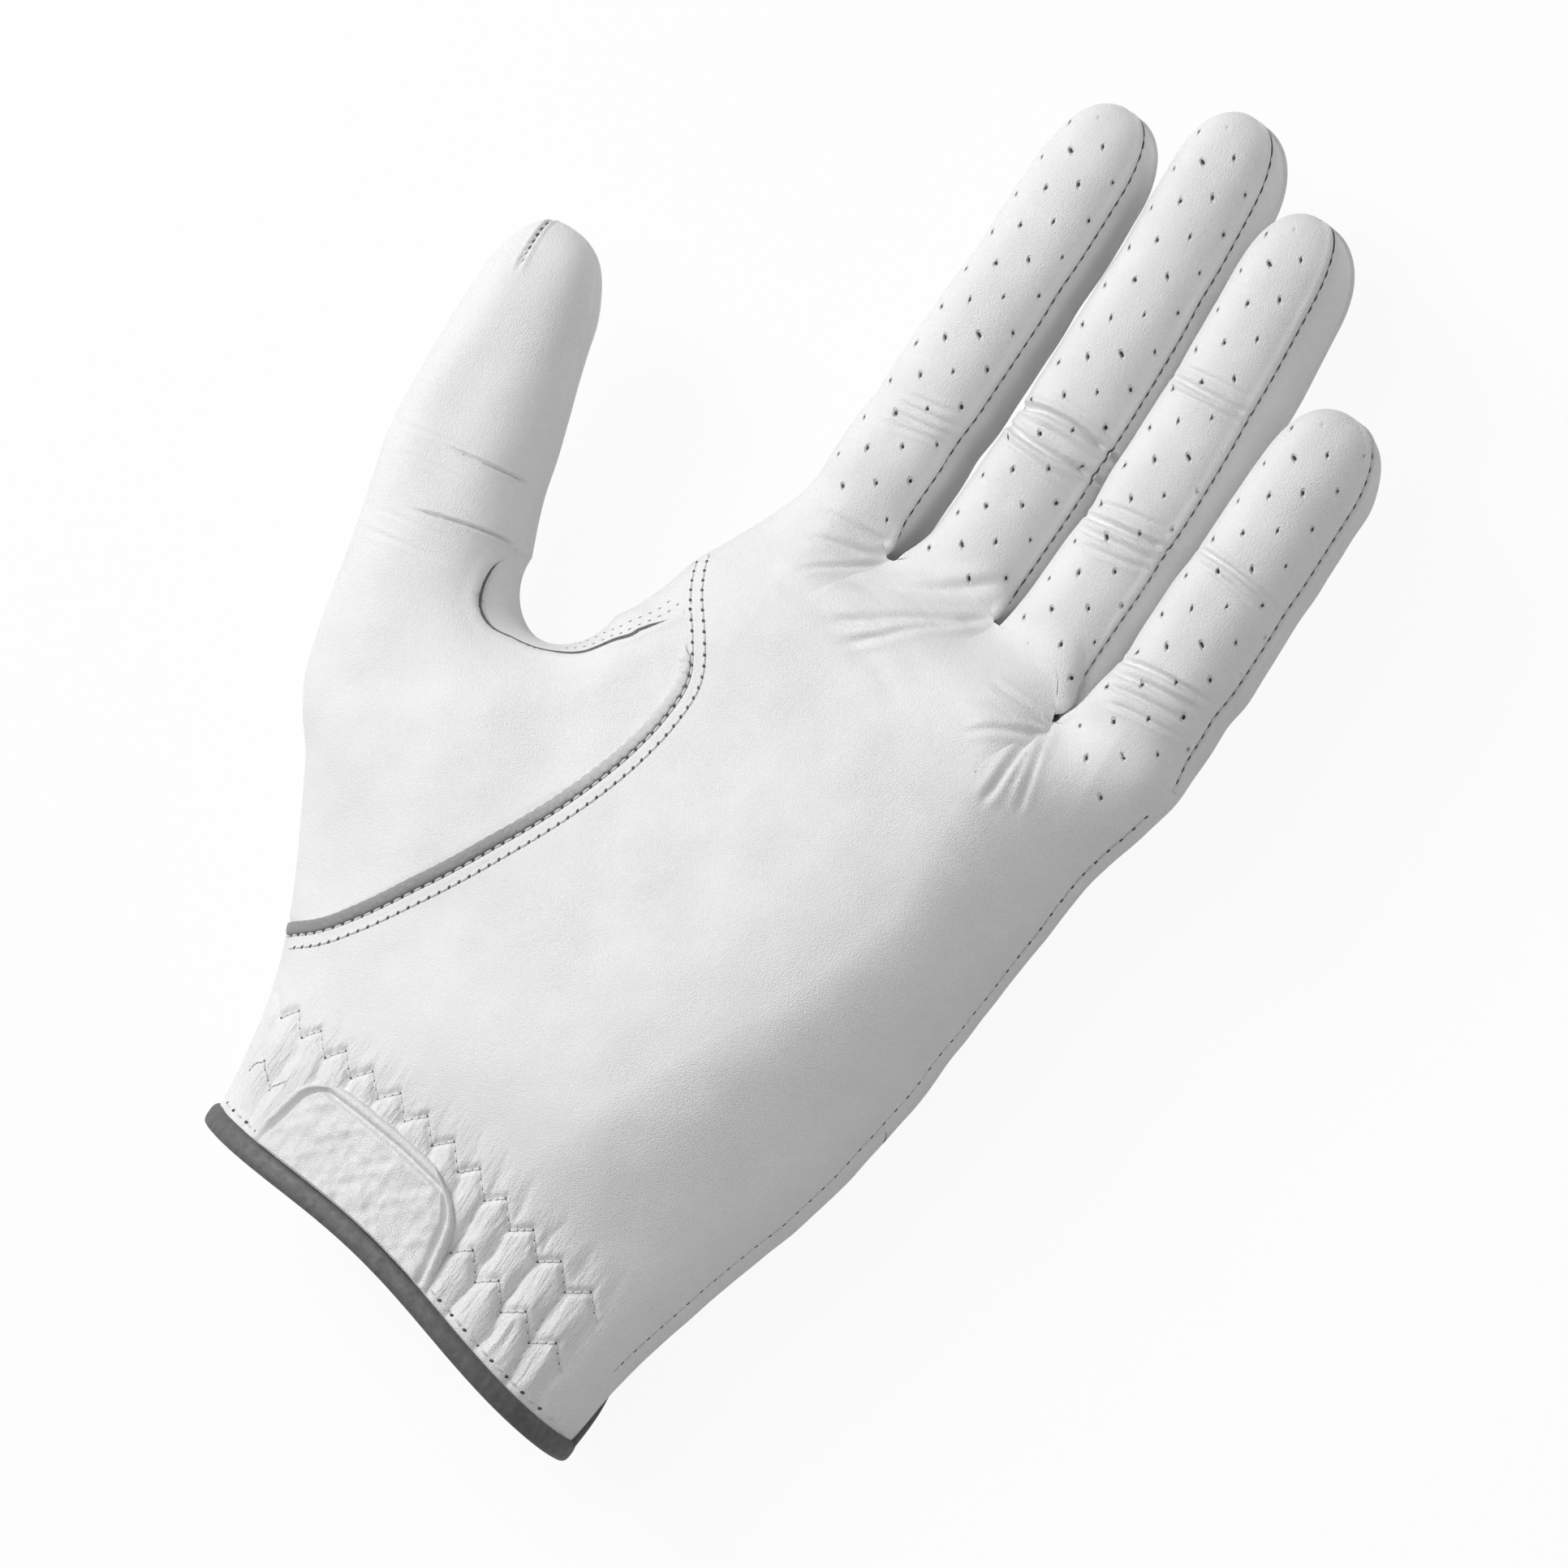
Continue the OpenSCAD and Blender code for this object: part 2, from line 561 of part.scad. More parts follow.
// binding along both edges of the slit
module slit_edge(side) {
    rows = [for (j = [0:10]) [for (k = [0:2])
        let (
            y = mix(cuff_outer_y + binding_width + 1.5, slit_top_y - 1, j / 10),
            near = side > 0 ? strip_low(y) + 0.1 : slit_side(y) - 0.1 - binding_width * 0.8,
            x = near + binding_width * 0.8 * k / 2
        )
        hand_point(x, y, -1, 0, 0)]];
    sheet(lifted(rows, seam_gap + binding_thick), lifted(rows, seam_gap));
}
module slit_binding() {
    color("dimgray") seat() {
        slit_edge(1);
        slit_edge(-1);
    }
}
// elastic band inside the wrist, under the palm leather
module wrist_elastic() {
    rows = [for (j = [-1:1]) [for (k = [0:16])
        let (
            x = mix(outer_edge[1][1] - 6, inner_edge[1][1] + 6, k / 16),
            y = cuff_y(x) + elastic_mid + j * elastic_width / 2
        )
        hand_point(x, y, 1, 0, 0)]];
    low = leather + seam_gap;
    color("black") seat() sheet(lifted(rows, -low), lifted(rows, -low - elastic_thick));
}
// palm patch: a trapezoid with round upper corners, sewn in at the cuff binding
function patch_half(v) =
    mix(patch_length / 2, patch_top / 2, v) - (v < 0.6 ? 0 : 4 * pow((v - 0.6) / 0.4, 2.5));
module palm_patch() {
    rows = [for (j = [0:patch_rows]) [for (k = [0:patch_columns])
        let (
            v = j / patch_rows,
            x = patch_x - patch_half(v) * (2 * k / patch_columns - 1),
            y = cuff_y(x) + binding_width + 2 * seam_gap + patch_width * v
        )
        hand_point(x, y, 1, 0, 0)]];
    color("snow") seat() sheet(lifted(rows, seam_gap + patch_thick), lifted(rows, seam_gap));
}
// closure: rows along Y, columns from the sewn end to the free end
tab_along = 10;
tab_across = 5;
function tab_end(u) = u < 0.72 ? 1 : sqrt(max(0.03, 1 - pow((u - 0.72) / 0.28, 2.6)));
function tab_rows(from, to, rim) = [for (j = [0:tab_across]) [for (k = [0:tab_along])
    let (
        d = mix(from, to, k / tab_along),
        v = 2 * j / tab_across - 1,
        y = tab_mid_y + v * max(1, tab_width / 2 * tab_end(d / tab_length) - rim),
        x = spline(outer_edge, y) - tab_root - d
    )
    hand_point(x, y, -1, 0, 0)]];
module closure_tab() {
    rows = tab_rows(0, tab_length, 0);
    sink = [for (k = [0:tab_along])
        (1 - smooth(0, tab_rise, tab_length * k / tab_along)) * (tab_low - crease_gap)];
    function layer(d) = [for (r = rows) [for (k = [0:tab_along])
        r[k] - (d - sink[k]) * row_normal(r, k)]];
    color("white") seat() sheet(layer(tab_low), layer(tab_high));
}
pad_start = 20;
module hook_pad() {
    rows = tab_rows(pad_start, tab_length - pad_rim, pad_rim);
    color("gray") seat() sheet(lifted(rows, -hook_low), lifted(rows, -hook_high));
}
module loop_pad() {
    rows = tab_rows(pad_start, tab_length, pad_rim / 2);
    color("gray") seat() sheet(lifted(rows, -loop_low), lifted(rows, -loop_high));
}

palm_panel();
back_panel();
back_strip();
thumb_base();
thumb_end();
web_gusset();
thumb_piping();
cuff_binding();
slit_binding();
wrist_elastic();
palm_patch();
loop_pad();
closure_tab();
hook_pad();
index_base_palm();
index_base_back();
index_base_outer();
index_end_palm();
index_end_back();
index_end_outer();
middle_base_palm();
middle_base_back();
middle_base_inner();
middle_base_outer();
middle_end_palm();
middle_end_back();
middle_end_inner();
middle_end_outer();
ring_base_palm();
ring_base_back();
ring_base_inner();
ring_base_outer();
ring_end_palm();
ring_end_back();
ring_end_inner();
ring_end_outer();
little_base_palm();
little_base_back();
little_base_inner();
little_end_palm();
little_end_back();
little_end_inner();
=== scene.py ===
"""Golf glove, seen from the palm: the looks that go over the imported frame.

Lengths are in millimetres in the hand's own frame (X to the little finger, Y to the
fingertips, Z out of the palm) until place() turns them into the row frame in metres.
"""
import math
import bpy
import numpy as np
from mathutils import Matrix


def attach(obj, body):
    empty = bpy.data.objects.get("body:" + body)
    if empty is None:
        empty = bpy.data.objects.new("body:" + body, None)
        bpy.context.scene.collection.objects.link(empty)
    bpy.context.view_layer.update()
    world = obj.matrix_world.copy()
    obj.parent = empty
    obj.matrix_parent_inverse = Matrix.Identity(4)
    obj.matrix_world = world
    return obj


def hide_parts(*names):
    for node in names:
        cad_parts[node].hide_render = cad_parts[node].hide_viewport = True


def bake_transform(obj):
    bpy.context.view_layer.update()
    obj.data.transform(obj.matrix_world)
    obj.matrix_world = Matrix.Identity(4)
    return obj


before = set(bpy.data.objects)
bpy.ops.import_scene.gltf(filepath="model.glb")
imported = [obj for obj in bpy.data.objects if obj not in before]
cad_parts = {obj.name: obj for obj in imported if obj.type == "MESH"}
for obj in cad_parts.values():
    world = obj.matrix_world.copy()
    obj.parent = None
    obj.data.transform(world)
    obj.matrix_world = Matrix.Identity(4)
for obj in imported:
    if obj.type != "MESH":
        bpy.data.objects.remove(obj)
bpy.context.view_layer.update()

# the frame's origin in the hand's own frame
ORIGIN = np.array([-15.6171, 9.85, -19.4])
MM = 0.001

# fingers: index, middle, ring, little
NAMES = ["index", "middle", "ring", "little"]
HALF_W = 8.8
HALF_H = 8.4
REACH = [72.0, 80.5, 75.5, 59.5]
CREASE = [19.0, 26.0, 21.0, 14.0]
KNUCKLE_Y = [38.0, 39.0, 37.0, 31.5]
LIFT = [3.0, 0.0, 2.5, 6.5]
LEAN = [1.5, 5.0, 5.0, 1.2]
FINGER_X = [-12.7, 6.8, 25.6, 44.8]
# the finger crotches, from index and middle to ring and little
CROTCH_Y = [35.7, 36.8, 29.5]
BULGE = 2.4
TIP_ROUND = 12.5

# hand outlines as (y, x) stations
WEB_X = -45.0
WEB_MID_Y = 6.0
WEB_ROUND = 9.2
WEB_Y = WEB_MID_Y - WEB_ROUND
THUMB_CREASE_Y = 14.0
THUMB_TIP_Y = 49.5
THUMB_LIFT = 2.0
# depth of the rounding at the palm's edges and at the web, half width of the change to the thumb
SPAN_PALM = 38.0
SPAN_WEB = 13.5
WEB_SOFT = 14.0
SEAM_LOW_Y = -60.0
SEAM_TOP_Y = 19.5
GUSSET_LOW_Y = -12.0
CUFF_OUTER_Y = -99.0
CUFF_INNER_Y = -89.0
CUFF_DIP = 2.6
OUTER_EDGE = [
    (-101, 31.4), (-85, 32.6), (-68, 36.4), (-50, 41.7), (-34, 44.6), (-18, 45.7),
    (-3, 46.4), (12, 48.2), (29.5, 53.6), (39.5, 53.6),
]
INNER_EDGE = [
    (-101, -41), (-78, -43.8), (-69, -45.8), (-60, -49.6), (-39, -62.4), (-27, -71),
    (-6, -77.1), (11, -82), (27.5, -83.8), (THUMB_TIP_Y, -85.5),
]
WEB_EDGE = [
    (WEB_Y, WEB_X), (-1.5, -39.8), (WEB_MID_Y, WEB_X + WEB_ROUND), (12, -32.2),
    (20, -29.4), (30, -24.5), (38, -21.5), (46, -21.5),
]
THUMB_EDGE = [
    (WEB_Y, WEB_X), (-1.5, -50.3), (WEB_MID_Y, WEB_X - WEB_ROUND), (14, -57.7),
    (23.4, -60.8), (36, -65.4), (THUMB_TIP_Y, -69.2),
]
THENAR_SEAM = [
    (SEAM_LOW_Y, -49.4), (-56.2, -42.2), (-51.2, -37.3), (-45.7, -33.4), (-34, -26.6),
    (-18, -19.2), (-6.8, -16.2), (0.7, -15.7), (4.6, -16.4), (8.6, -19.2), (14, -24.6),
    (SEAM_TOP_Y, -29.3),
]
HAND_HALF = [(-101, 17), (-75, 15.5), (-25, 15.5), (0, 14.5), (40, 11)]
HAND_MID = [(-101, 2), (-75, 0.5), (-25, 0.5), (0, 0), (40, 0)]
THUMB_HALF = [(WEB_Y, 12.5), (THUMB_CREASE_Y, 10.9), (THUMB_TIP_Y, 7.5)]
SLIT_NEAR = 2.4
SLIT_FAR = 16.0
SLIT_WIDTH = 2.6
SLIT_LENGTH = 52.0
SLIT_TOP_Y = CUFF_OUTER_Y + SLIT_LENGTH
SLIT_CLOSE = 14.0
# step over the plan that the normals are taken from
NORMAL_STEP = 0.12


def smooth(a, b, x):
    """Smooth step from 0 at a to 1 at b."""
    t = np.clip((x - a) / (b - a), 0.0, 1.0)
    return t * t * (3.0 - 2.0 * t)


def mix(a, b, t):
    """Straight blend of a and b."""
    return a + (b - a) * t


def bell(d, width):
    """Bell curve: 1 at 0, about a third at the width."""
    return np.exp(-(d / width) ** 2)


def signed_power(v, k):
    """Power of a number's size, with its sign kept."""
    return np.sign(v) * np.abs(v) ** k


def oval(u):
    """Height of a squarish oval of half width 1 at the place u."""
    return np.maximum(0.0, 1.0 - np.abs(u) ** BULGE) ** (1.0 / BULGE)


def spline(stations, at):
    """Cubic curve through (place, value) stations, held level past both ends."""
    s = np.asarray(stations, float)
    y = np.clip(at, s[0, 0], s[-1, 0])
    slope = np.gradient(s[:, 1])
    slope[1:-1] = (s[2:, 1] - s[:-2, 1]) / (s[2:, 0] - s[:-2, 0])
    slope[0] = (s[1, 1] - s[0, 1]) / (s[1, 0] - s[0, 0])
    slope[-1] = (s[-1, 1] - s[-2, 1]) / (s[-1, 0] - s[-2, 0])
    i = np.clip(np.searchsorted(s[:, 0], y, side="right") - 1, 0, len(s) - 2)
    d = s[i + 1, 0] - s[i, 0]
    t = (y - s[i, 0]) / d
    rest = t * t * (3.0 - 2.0 * t)
    start = (t * (1.0 - t) ** 2) * slope[i] * d
    stop = (t * t * (t - 1.0)) * slope[i + 1] * d
    return mix(s[i, 1], s[i + 1, 1], rest) + start + stop


def edge(d, depth):
    """Rounded edge: 0 at the edge, 1 from the depth of the rounding on."""
    return oval(1.0 - np.clip(d / depth, 0.0, 1.0))


def arch(x):
    """Height of the row of knuckles across the hand."""
    return spline(list(zip(FINGER_X, LIFT)), x)


def web_way(x, y):
    """Distance from the rim of the web: a round bottom, then the sides of palm and thumb."""
    bottom = np.hypot(x - WEB_X, y - WEB_MID_Y) - WEB_ROUND
    sides = np.where(x > WEB_X, x - spline(WEB_EDGE, y), spline(THUMB_EDGE, y) - x)
    return np.where(y < WEB_MID_Y, bottom, sides)


def rim_x(y, side):
    """The web's rim on the palm's side (1) or the thumb's (-1): round below, then that edge."""
    below = np.minimum(y, WEB_MID_Y) - WEB_MID_Y
    round_part = WEB_X + side * np.sqrt(np.maximum(0.0, WEB_ROUND ** 2 - below ** 2))
    straight = spline(WEB_EDGE if side > 0 else THUMB_EDGE, np.maximum(y, WEB_MID_Y))
    return np.where(y < WEB_MID_Y, round_part, straight)


def thumb_part(x, y, start):
    """0 on the palm, 1 on the thumb: changes across the web, and up the hand from a start."""
    return smooth(WEB_X + WEB_SOFT, WEB_X - WEB_SOFT, x) * smooth(start, WEB_Y, y)


def hand_rise(x, y):
    """Half height of the hand over the plan, falling to 0 at every edge."""
    thumb = thumb_part(x, y, -45.0)
    span = (spline(THUMB_EDGE, y) - spline(INNER_EDGE, y)) / 2
    outer = spline(OUTER_EDGE, y) - x
    inner = x - spline(INNER_EDGE, y)
    depth = np.where(x > WEB_X, mix(SPAN_WEB, SPAN_PALM, smooth(0, 34, y)), SPAN_WEB)
    h = mix(spline(HAND_HALF, y), spline(THUMB_HALF, y), thumb)
    way = web_way(x, y)
    side_depth = mix(SPAN_PALM, SPAN_WEB, smooth(-60, WEB_Y, y))
    palm = h * edge(outer, SPAN_PALM)
    palm = palm * np.where(y > WEB_MID_Y, 1.0, edge(inner, side_depth))
    palm = palm * np.where(y < WEB_MID_Y - SPAN_WEB - WEB_ROUND, 1.0, edge(way, depth))
    tube = h * edge(inner, span) * edge(way, span)
    return np.where((y >= WEB_MID_Y) & (x < WEB_X), tube, palm)


def palm_mid(x, y):
    """Height of the hand's middle sheet over the plan."""
    thumb = thumb_part(x, y, -50.0)
    return mix(mix(spline(HAND_MID, y), arch(x), smooth(0, 36, y)), THUMB_LIFT, thumb)


def cuff_y(x):
    """The cuff's edge slants, and is cut back a little in the middle of the palm."""
    a = OUTER_EDGE[0][1]
    share = (a - x) / (a - INNER_EDGE[0][1])
    dip = np.sin(np.pi * np.clip(share, 0.0, 1.0)) ** 2
    return mix(CUFF_OUTER_Y, CUFF_INNER_Y, share) + CUFF_DIP * dip


def palm_limit(y):
    """Thumb side limit of the palm's leather."""
    seam = spline(THENAR_SEAM, y)
    low = np.where(y < SEAM_LOW_Y, spline(INNER_EDGE, y), seam)
    return np.where(y > SEAM_TOP_Y, spline(WEB_EDGE, y), low)


def slit_line(y):
    """Outer edge of the wrist slit on the back."""
    part = np.clip((y - CUFF_OUTER_Y) / SLIT_LENGTH, 0.0, 1.0)
    return spline(OUTER_EDGE, y) - mix(SLIT_NEAR, SLIT_FAR, part)


def slit_side(y):
    """Edge of the back panel along the slit, which closes past the slit's end."""
    closing = smooth(SLIT_TOP_Y, SLIT_TOP_Y + SLIT_CLOSE, y)
    return mix(slit_line(y) - SLIT_WIDTH, spline(OUTER_EDGE, y), closing)


def place(p):
    """From the hand's own frame in millimetres to the row frame in metres."""
    return (np.asarray(p, float) - ORIGIN) * MM


def unit(v):
    """Vectors scaled to length 1."""
    size = np.linalg.norm(v, axis=-1, keepdims=True)
    return v / np.maximum(size, 1e-9)


def grid_normals(p, turn=1.0):
    """Normals of a grid of points, from the directions of its rows and columns."""
    along = np.gradient(p, axis=0)
    across = np.gradient(p, axis=1)
    return turn * unit(np.cross(across, along))


def hand_base(x, y, side):
    """Point of the palm side (1) or the back (-1) over the plan, before any relief."""
    return np.stack([x, y, palm_mid(x, y) + side * hand_rise(x, y)], axis=-1)


def plan_normals(x, y, side):
    """Normals of the palm side (1) or the back (-1), from the hand's height over the plan."""
    across = hand_base(x + NORMAL_STEP, y, side) - hand_base(x - NORMAL_STEP, y, side)
    along = hand_base(x, y + NORMAL_STEP, side) - hand_base(x, y - NORMAL_STEP, side)
    return np.asarray(side)[..., None] * unit(np.cross(across, along))


def along_hand(y):
    """Place on the hand's long axis, for the ends of a blend."""
    return place([0.0, y, 0.0])


# relief of the leather

# folds on the palm side: (x, y) of both ends, width, depth, lip height and bow, all in mm
FOLDS = [
    # index, fine wrinkles over its first joint
    ((-17.0, 53.6), (-4.8, 56.2), 0.36, 0.26, 0.12, -0.4),
    ((-16.5, 55.4), (-5.5, 57.6), 0.34, 0.22, 0.10, -0.3),
    ((-16.0, 51.8), (-6.0, 54.6), 0.34, 0.20, 0.10, -0.3),
    ((-15.0, 57.2), (-7.0, 59.0), 0.34, 0.15, 0.08, -0.2),
    # middle, a deep double fold with a pillow between
    ((-3.5, 64.4), (17.0, 66.4), 0.50, 1.60, 0.55, 1.5),
    ((-3.5, 62.4), (17.0, 63.7), 0.45, 1.30, 0.45, -1.3),
    ((0.0, 60.0), (12.0, 59.8), 0.36, 0.30, 0.15, -0.3),
    ((2.0, 68.9), (14.0, 69.1), 0.36, 0.22, 0.10, 0.4),
    ((3.0, 64.2), (13.0, 64.9), 0.30, 0.25, 0.10, 0.2),
    # ring
    ((16.5, 57.2), (33.5, 60.4), 0.42, 0.95, 0.35, -0.3),
    ((18.0, 55.2), (32.5, 58.0), 0.38, 0.50, 0.22, -0.3),
    ((20.0, 53.2), (31.5, 56.0), 0.36, 0.32, 0.16, -0.3),
    ((18.0, 59.4), (30.0, 62.2), 0.34, 0.30, 0.15, 0.3),
    ((15.4, 81.2), (32.4, 83.2), 0.40, 0.65, 0.28, -0.3),
    ((17.0, 79.6), (30.0, 81.2), 0.34, 0.30, 0.15, -0.2),
    ((17.0, 83.0), (30.0, 85.0), 0.34, 0.25, 0.12, 0.2),
    # little
    ((36.0, 42.6), (52.5, 45.0), 0.42, 0.85, 0.32, 0.4),
    ((37.0, 40.4), (51.8, 43.0), 0.40, 0.55, 0.25, 0.3),
    ((38.0, 38.4), (51.5, 40.6), 0.38, 0.42, 0.20, 0.3),
    ((40.0, 36.6), (52.0, 38.4), 0.38, 0.32, 0.16, 0.2),
    ((36.2, 62.4), (52.6, 61.6), 0.40, 0.75, 0.30, 0.6),
    ((38.0, 60.6), (50.0, 59.9), 0.34, 0.26, 0.12, 0.4),
    # thumb
    ((-70.5, 12.2), (-52.0, 17.0), 0.21, 0.85, 0.08, -0.6),
    ((-68.5, 1.4), (-49.5, 7.5), 0.21, 0.85, 0.08, 0.3),
    ((-77.3, 39.0), (-80.7, 50.0), 0.26, 0.60, 0.30, 0.0),
    ((-78.0, 11.0), (-66.0, 13.6), 0.40, 0.08, 0.03, 0.2),
    ((-76.0, 7.5), (-62.0, 9.8), 0.40, 0.08, 0.03, 0.2),
    ((-74.0, -1.5), (-60.0, 1.2), 0.40, 0.07, 0.03, 0.2),
    ((-74.0, -5.0), (-58.0, -1.8), 0.40, 0.09, 0.03, 0.2),
    # pulls that run out from the crotches
    ((15.4, 37.4), (-4.0, 22.5), 0.70, 0.55, 0.30, 1.0),
    ((14.0, 43.5), (-6.0, 27.0), 0.90, 0.50, 0.30, 0.8),
    ((14.6, 35.6), (0.0, 20.5), 0.60, 0.32, 0.18, 0.5),
    ((-3.6, 36.2), (-15.0, 31.5), 0.50, 0.42, 0.20, 0.3),
    ((-4.0, 38.0), (-15.5, 36.0), 0.50, 0.40, 0.20, 0.3),
    ((-3.6, 35.2), (-12.0, 26.5), 0.50, 0.30, 0.16, 0.3),
    ((34.8, 29.6), (23.5, 28.2), 0.45, 0.42, 0.20, 0.2),
    ((34.8, 29.0), (26.0, 21.5), 0.45, 0.40, 0.20, 0.2),
    ((35.2, 28.6), (33.5, 14.5), 0.55, 0.48, 0.24, 0.3),
    ((35.8, 28.8), (38.5, 16.0), 0.45, 0.36, 0.18, 0.2),
    ((34.8, 29.4), (24.0, 24.8), 0.40, 0.30, 0.15, 0.2),
    ((35.6, 28.4), (36.0, 18.0), 0.40, 0.28, 0.14, 0.2),
    # soft hollows of the palm
    ((-18.0, 24.0), (16.0, 19.0), 1.40, 0.25, 0.15, 1.5),
    ((8.0, 14.0), (44.0, 4.0), 1.60, 0.20, 0.12, 2.2),
]


def fold(x, y, start, stop, width, depth, lip, bow):
    """A crease along a bowed line: a valley with two soft lips, fading at both ends."""
    ax, ay = start
    dx = stop[0] - ax
    dy = stop[1] - ay
    size = math.hypot(dx, dy)
    t = ((x - ax) * dx + (y - ay) * dy) / size ** 2
    d = ((y - ay) * dx - (x - ax) * dy) / size - bow * 4.0 * t * (1.0 - t)
    fade = smooth(-0.02, 0.22, t) * smooth(1.02, 0.78, t)
    lips = bell(np.abs(d) - 2.1 * width, 1.3 * width)
    return fade * (lip * lips - depth * bell(d, width))


def ripple(x, y, size, seed):
    """Soft unevenness: six crossed waves of about one size with fixed phases."""
    k = np.arange(6)
    turn = 2.4 * k + seed
    rate = 2.0 * np.pi / size * (0.75 + 0.1 * k)
    shape = (6,) + (1,) * np.ndim(x)
    c = np.reshape(np.cos(turn) * rate, shape)
    s = np.reshape(np.sin(turn) * rate, shape)
    phase = np.reshape(np.sin(5.3 * k + seed) * 9.0, shape)
    return np.sum(np.sin(c * x + s * y + phase), axis=0) / 6.0


# smocking at the cuff: pitch and half height of the zigzag, the upper row's height above the cuff's
# edge, the gap to the lower rows, where the lower row starts, and how far the gathers run above
ZIG_PITCH = 5.7
ZIG_HALF = 1.4
ZIG_UP = 20.0
ROW_GAP = 9.0
LOWER_START_X = -4.0
GATHER_UP = 9.0
PUCKER = 1.6
# share of a pillow's wave that lies below the plain leather
PILLOW_SINK = 0.62
# fine wrinkles round a fold: how far they spread, and how strong they are for its depth
WRINKLE_SPREAD = 2.2
WRINKLE_GAIN = 1.4

# cuff patch: its middle, half widths at foot and top, height, and start above the cuff's edge
PATCH_MID = -12.4
PATCH_LOW = 19.2
PATCH_TOP = 15.6
PATCH_HIGH = 14.0
PATCH_UP = 2.9


def patch_half(v):
    """Half width of the patch from the cuff (v 0) to its top (v 1), with round corners."""
    corner = np.maximum(0.0, (v - 0.55) / 0.45)
    return mix(PATCH_LOW, PATCH_TOP, np.maximum(v, 0.0) ** 1.2) * (1.0 - 0.42 * corner ** 3.2)


def patch_cover(x, y):
    """1 where the patch lies over the palm's leather, 0 outside it."""
    up = y - cuff_y(x) - PATCH_UP
    half = patch_half(np.clip(up / PATCH_HIGH, 0.0, 1.0))
    inside = np.minimum(half - np.abs(x - PATCH_MID), PATCH_HIGH - up)
    return smooth(-1.0, 0.6, inside)


def zig_line(x):
    """Triangle wave of the upper smocking row, from -1 to 1."""
    t = x / ZIG_PITCH
    return 4.0 * np.abs(t - np.floor(t + 0.5)) - 1.0


def smocking(x, y):
    """Pillows between the gathers, held down at zigzag and binding, with fine wrinkles."""
    up = y - cuff_y(x)
    wander = 1.2 * ripple(x, y, 20.0, 3.0) + 0.55 * ripple(x, y, 7.0, 8.0)
    wave = np.abs(np.sin(np.pi * (x + wander) / ZIG_PITCH)) ** 0.65
    body = np.clip((up - 2.0) / (ZIG_UP - 2.0), 0.0, 1.0)
    hold = np.sin(np.pi * body) ** 0.5
    tie = bell(up - ZIG_UP + ROW_GAP - ZIG_HALF * zig_line(x), 0.9)
    tie = np.where(x > LOWER_START_X, tie, 0.0)
    above = np.where(up > ZIG_UP, smooth(ZIG_UP + GATHER_UP, ZIG_UP + 0.5, up), 0.0)
    above = above * mix(0.25, 1.0, smooth(-6.0, 12.0, x))
    pinch = bell(up - ZIG_UP - ZIG_HALF * zig_line(x), 0.75)
    side = smooth(30.0, 26.0, x) * smooth(-46.0, -38.0, x)
    full = PUCKER * (1.0 + 0.35 * ripple(x, y, 12.0, 9.0))
    lines = ripple(x, 0.16 * y, 1.5, 11.0) + 0.7 * ripple(x, 0.22 * y, 2.4, 12.0)
    low = full * hold * (wave - PILLOW_SINK) + 0.16 * hold * lines
    low = np.where(up < ZIG_UP, low, 0.0)
    high = 0.38 * full * above * (wave - PILLOW_SINK) + 0.08 * above * lines
    return side * (1.0 - patch_cover(x, y)) * (low + high - 0.6 * pinch - 0.5 * tie)


# grooves of the thenar seam: distance inside a panel's edge, depth and width
SEAM_IN = 0.75
SEAM_DEPTH = 0.14
SEAM_WIDTH = 0.45


def seam_groove(d, depth, width):
    """A stitched seam: a narrow valley with a raised roll on both sides."""
    roll = bell(np.abs(d) - 2.6 * width, 1.3 * width)
    return 0.4 * depth * roll - depth * bell(d, width)


# how far the strip along the web's rim shows: (angle round the web in degrees, mm from the rim)
WEB_LIP = [
    (185, 0.2), (200, 0.9), (226, 2.3), (239, 3.0), (255, 3.1), (274, 2.4), (304, 3.1),
    (330, 5.2), (348, 6.8), (358, 8.8), (366, 9.3), (385, 9.2),
]
# how far the strip lies below the lip, how deep the groove at the lip is, and how high its roll
LIP_SINK = 0.5
LIP_GROOVE = 0.15
LIP_ROLL = 0.2


def web_lip(x, y):
    """Lip of the palm's leather over the strip along the web's rim, which lies lower."""
    turn = np.degrees(np.arctan2(y - WEB_MID_Y, x - WEB_X))
    turn = np.where(turn < 100.0, turn + 360.0, turn)
    d = web_way(x, y) - spline(WEB_LIP, turn)
    shown = smooth(186.0, 198.0, turn) * smooth(383.0, 372.0, turn)
    sunk = -LIP_SINK * smooth(0.22, -0.22, d)
    shade = -LIP_GROOVE * bell(d + 0.36, 0.27)
    lip = LIP_ROLL * bell(d - 0.85, 0.75)
    return shown * (sunk + shade + lip)


# how far the filled palm, the ball of the thumb and the thumb's own side swell out
PALM_SWELL = 5.8
BALL_SWELL = 0.8
THUMB_SWELL = 1.1


def palm_form(x, y):
    """The filled palm, highest towards the little finger, and the thumb, fuller on its own side."""
    along = smooth(-75.0, -5.0, y)
    peak = mix(8.0, 31.0, along)
    ramp_up = smooth(peak - 74.0, peak, x) * smooth(peak + mix(27.0, 19.0, along), peak, x)
    ridge = ramp_up * smooth(-86.0, -56.0, y) * smooth(46.0, 14.0, y)
    ball = bell(x + 40.0, 12.0) * smooth(-55.0, -30.0, y) * smooth(6.0, -14.0, y)
    far = x - spline(INNER_EDGE, y) - 5.0
    pad = bell(far, 5.0) * smooth(-6.0, 12.0, y) * smooth(46.0, 36.0, y)
    return PALM_SWELL * ridge + BALL_SWELL * ball + THUMB_SWELL * pad


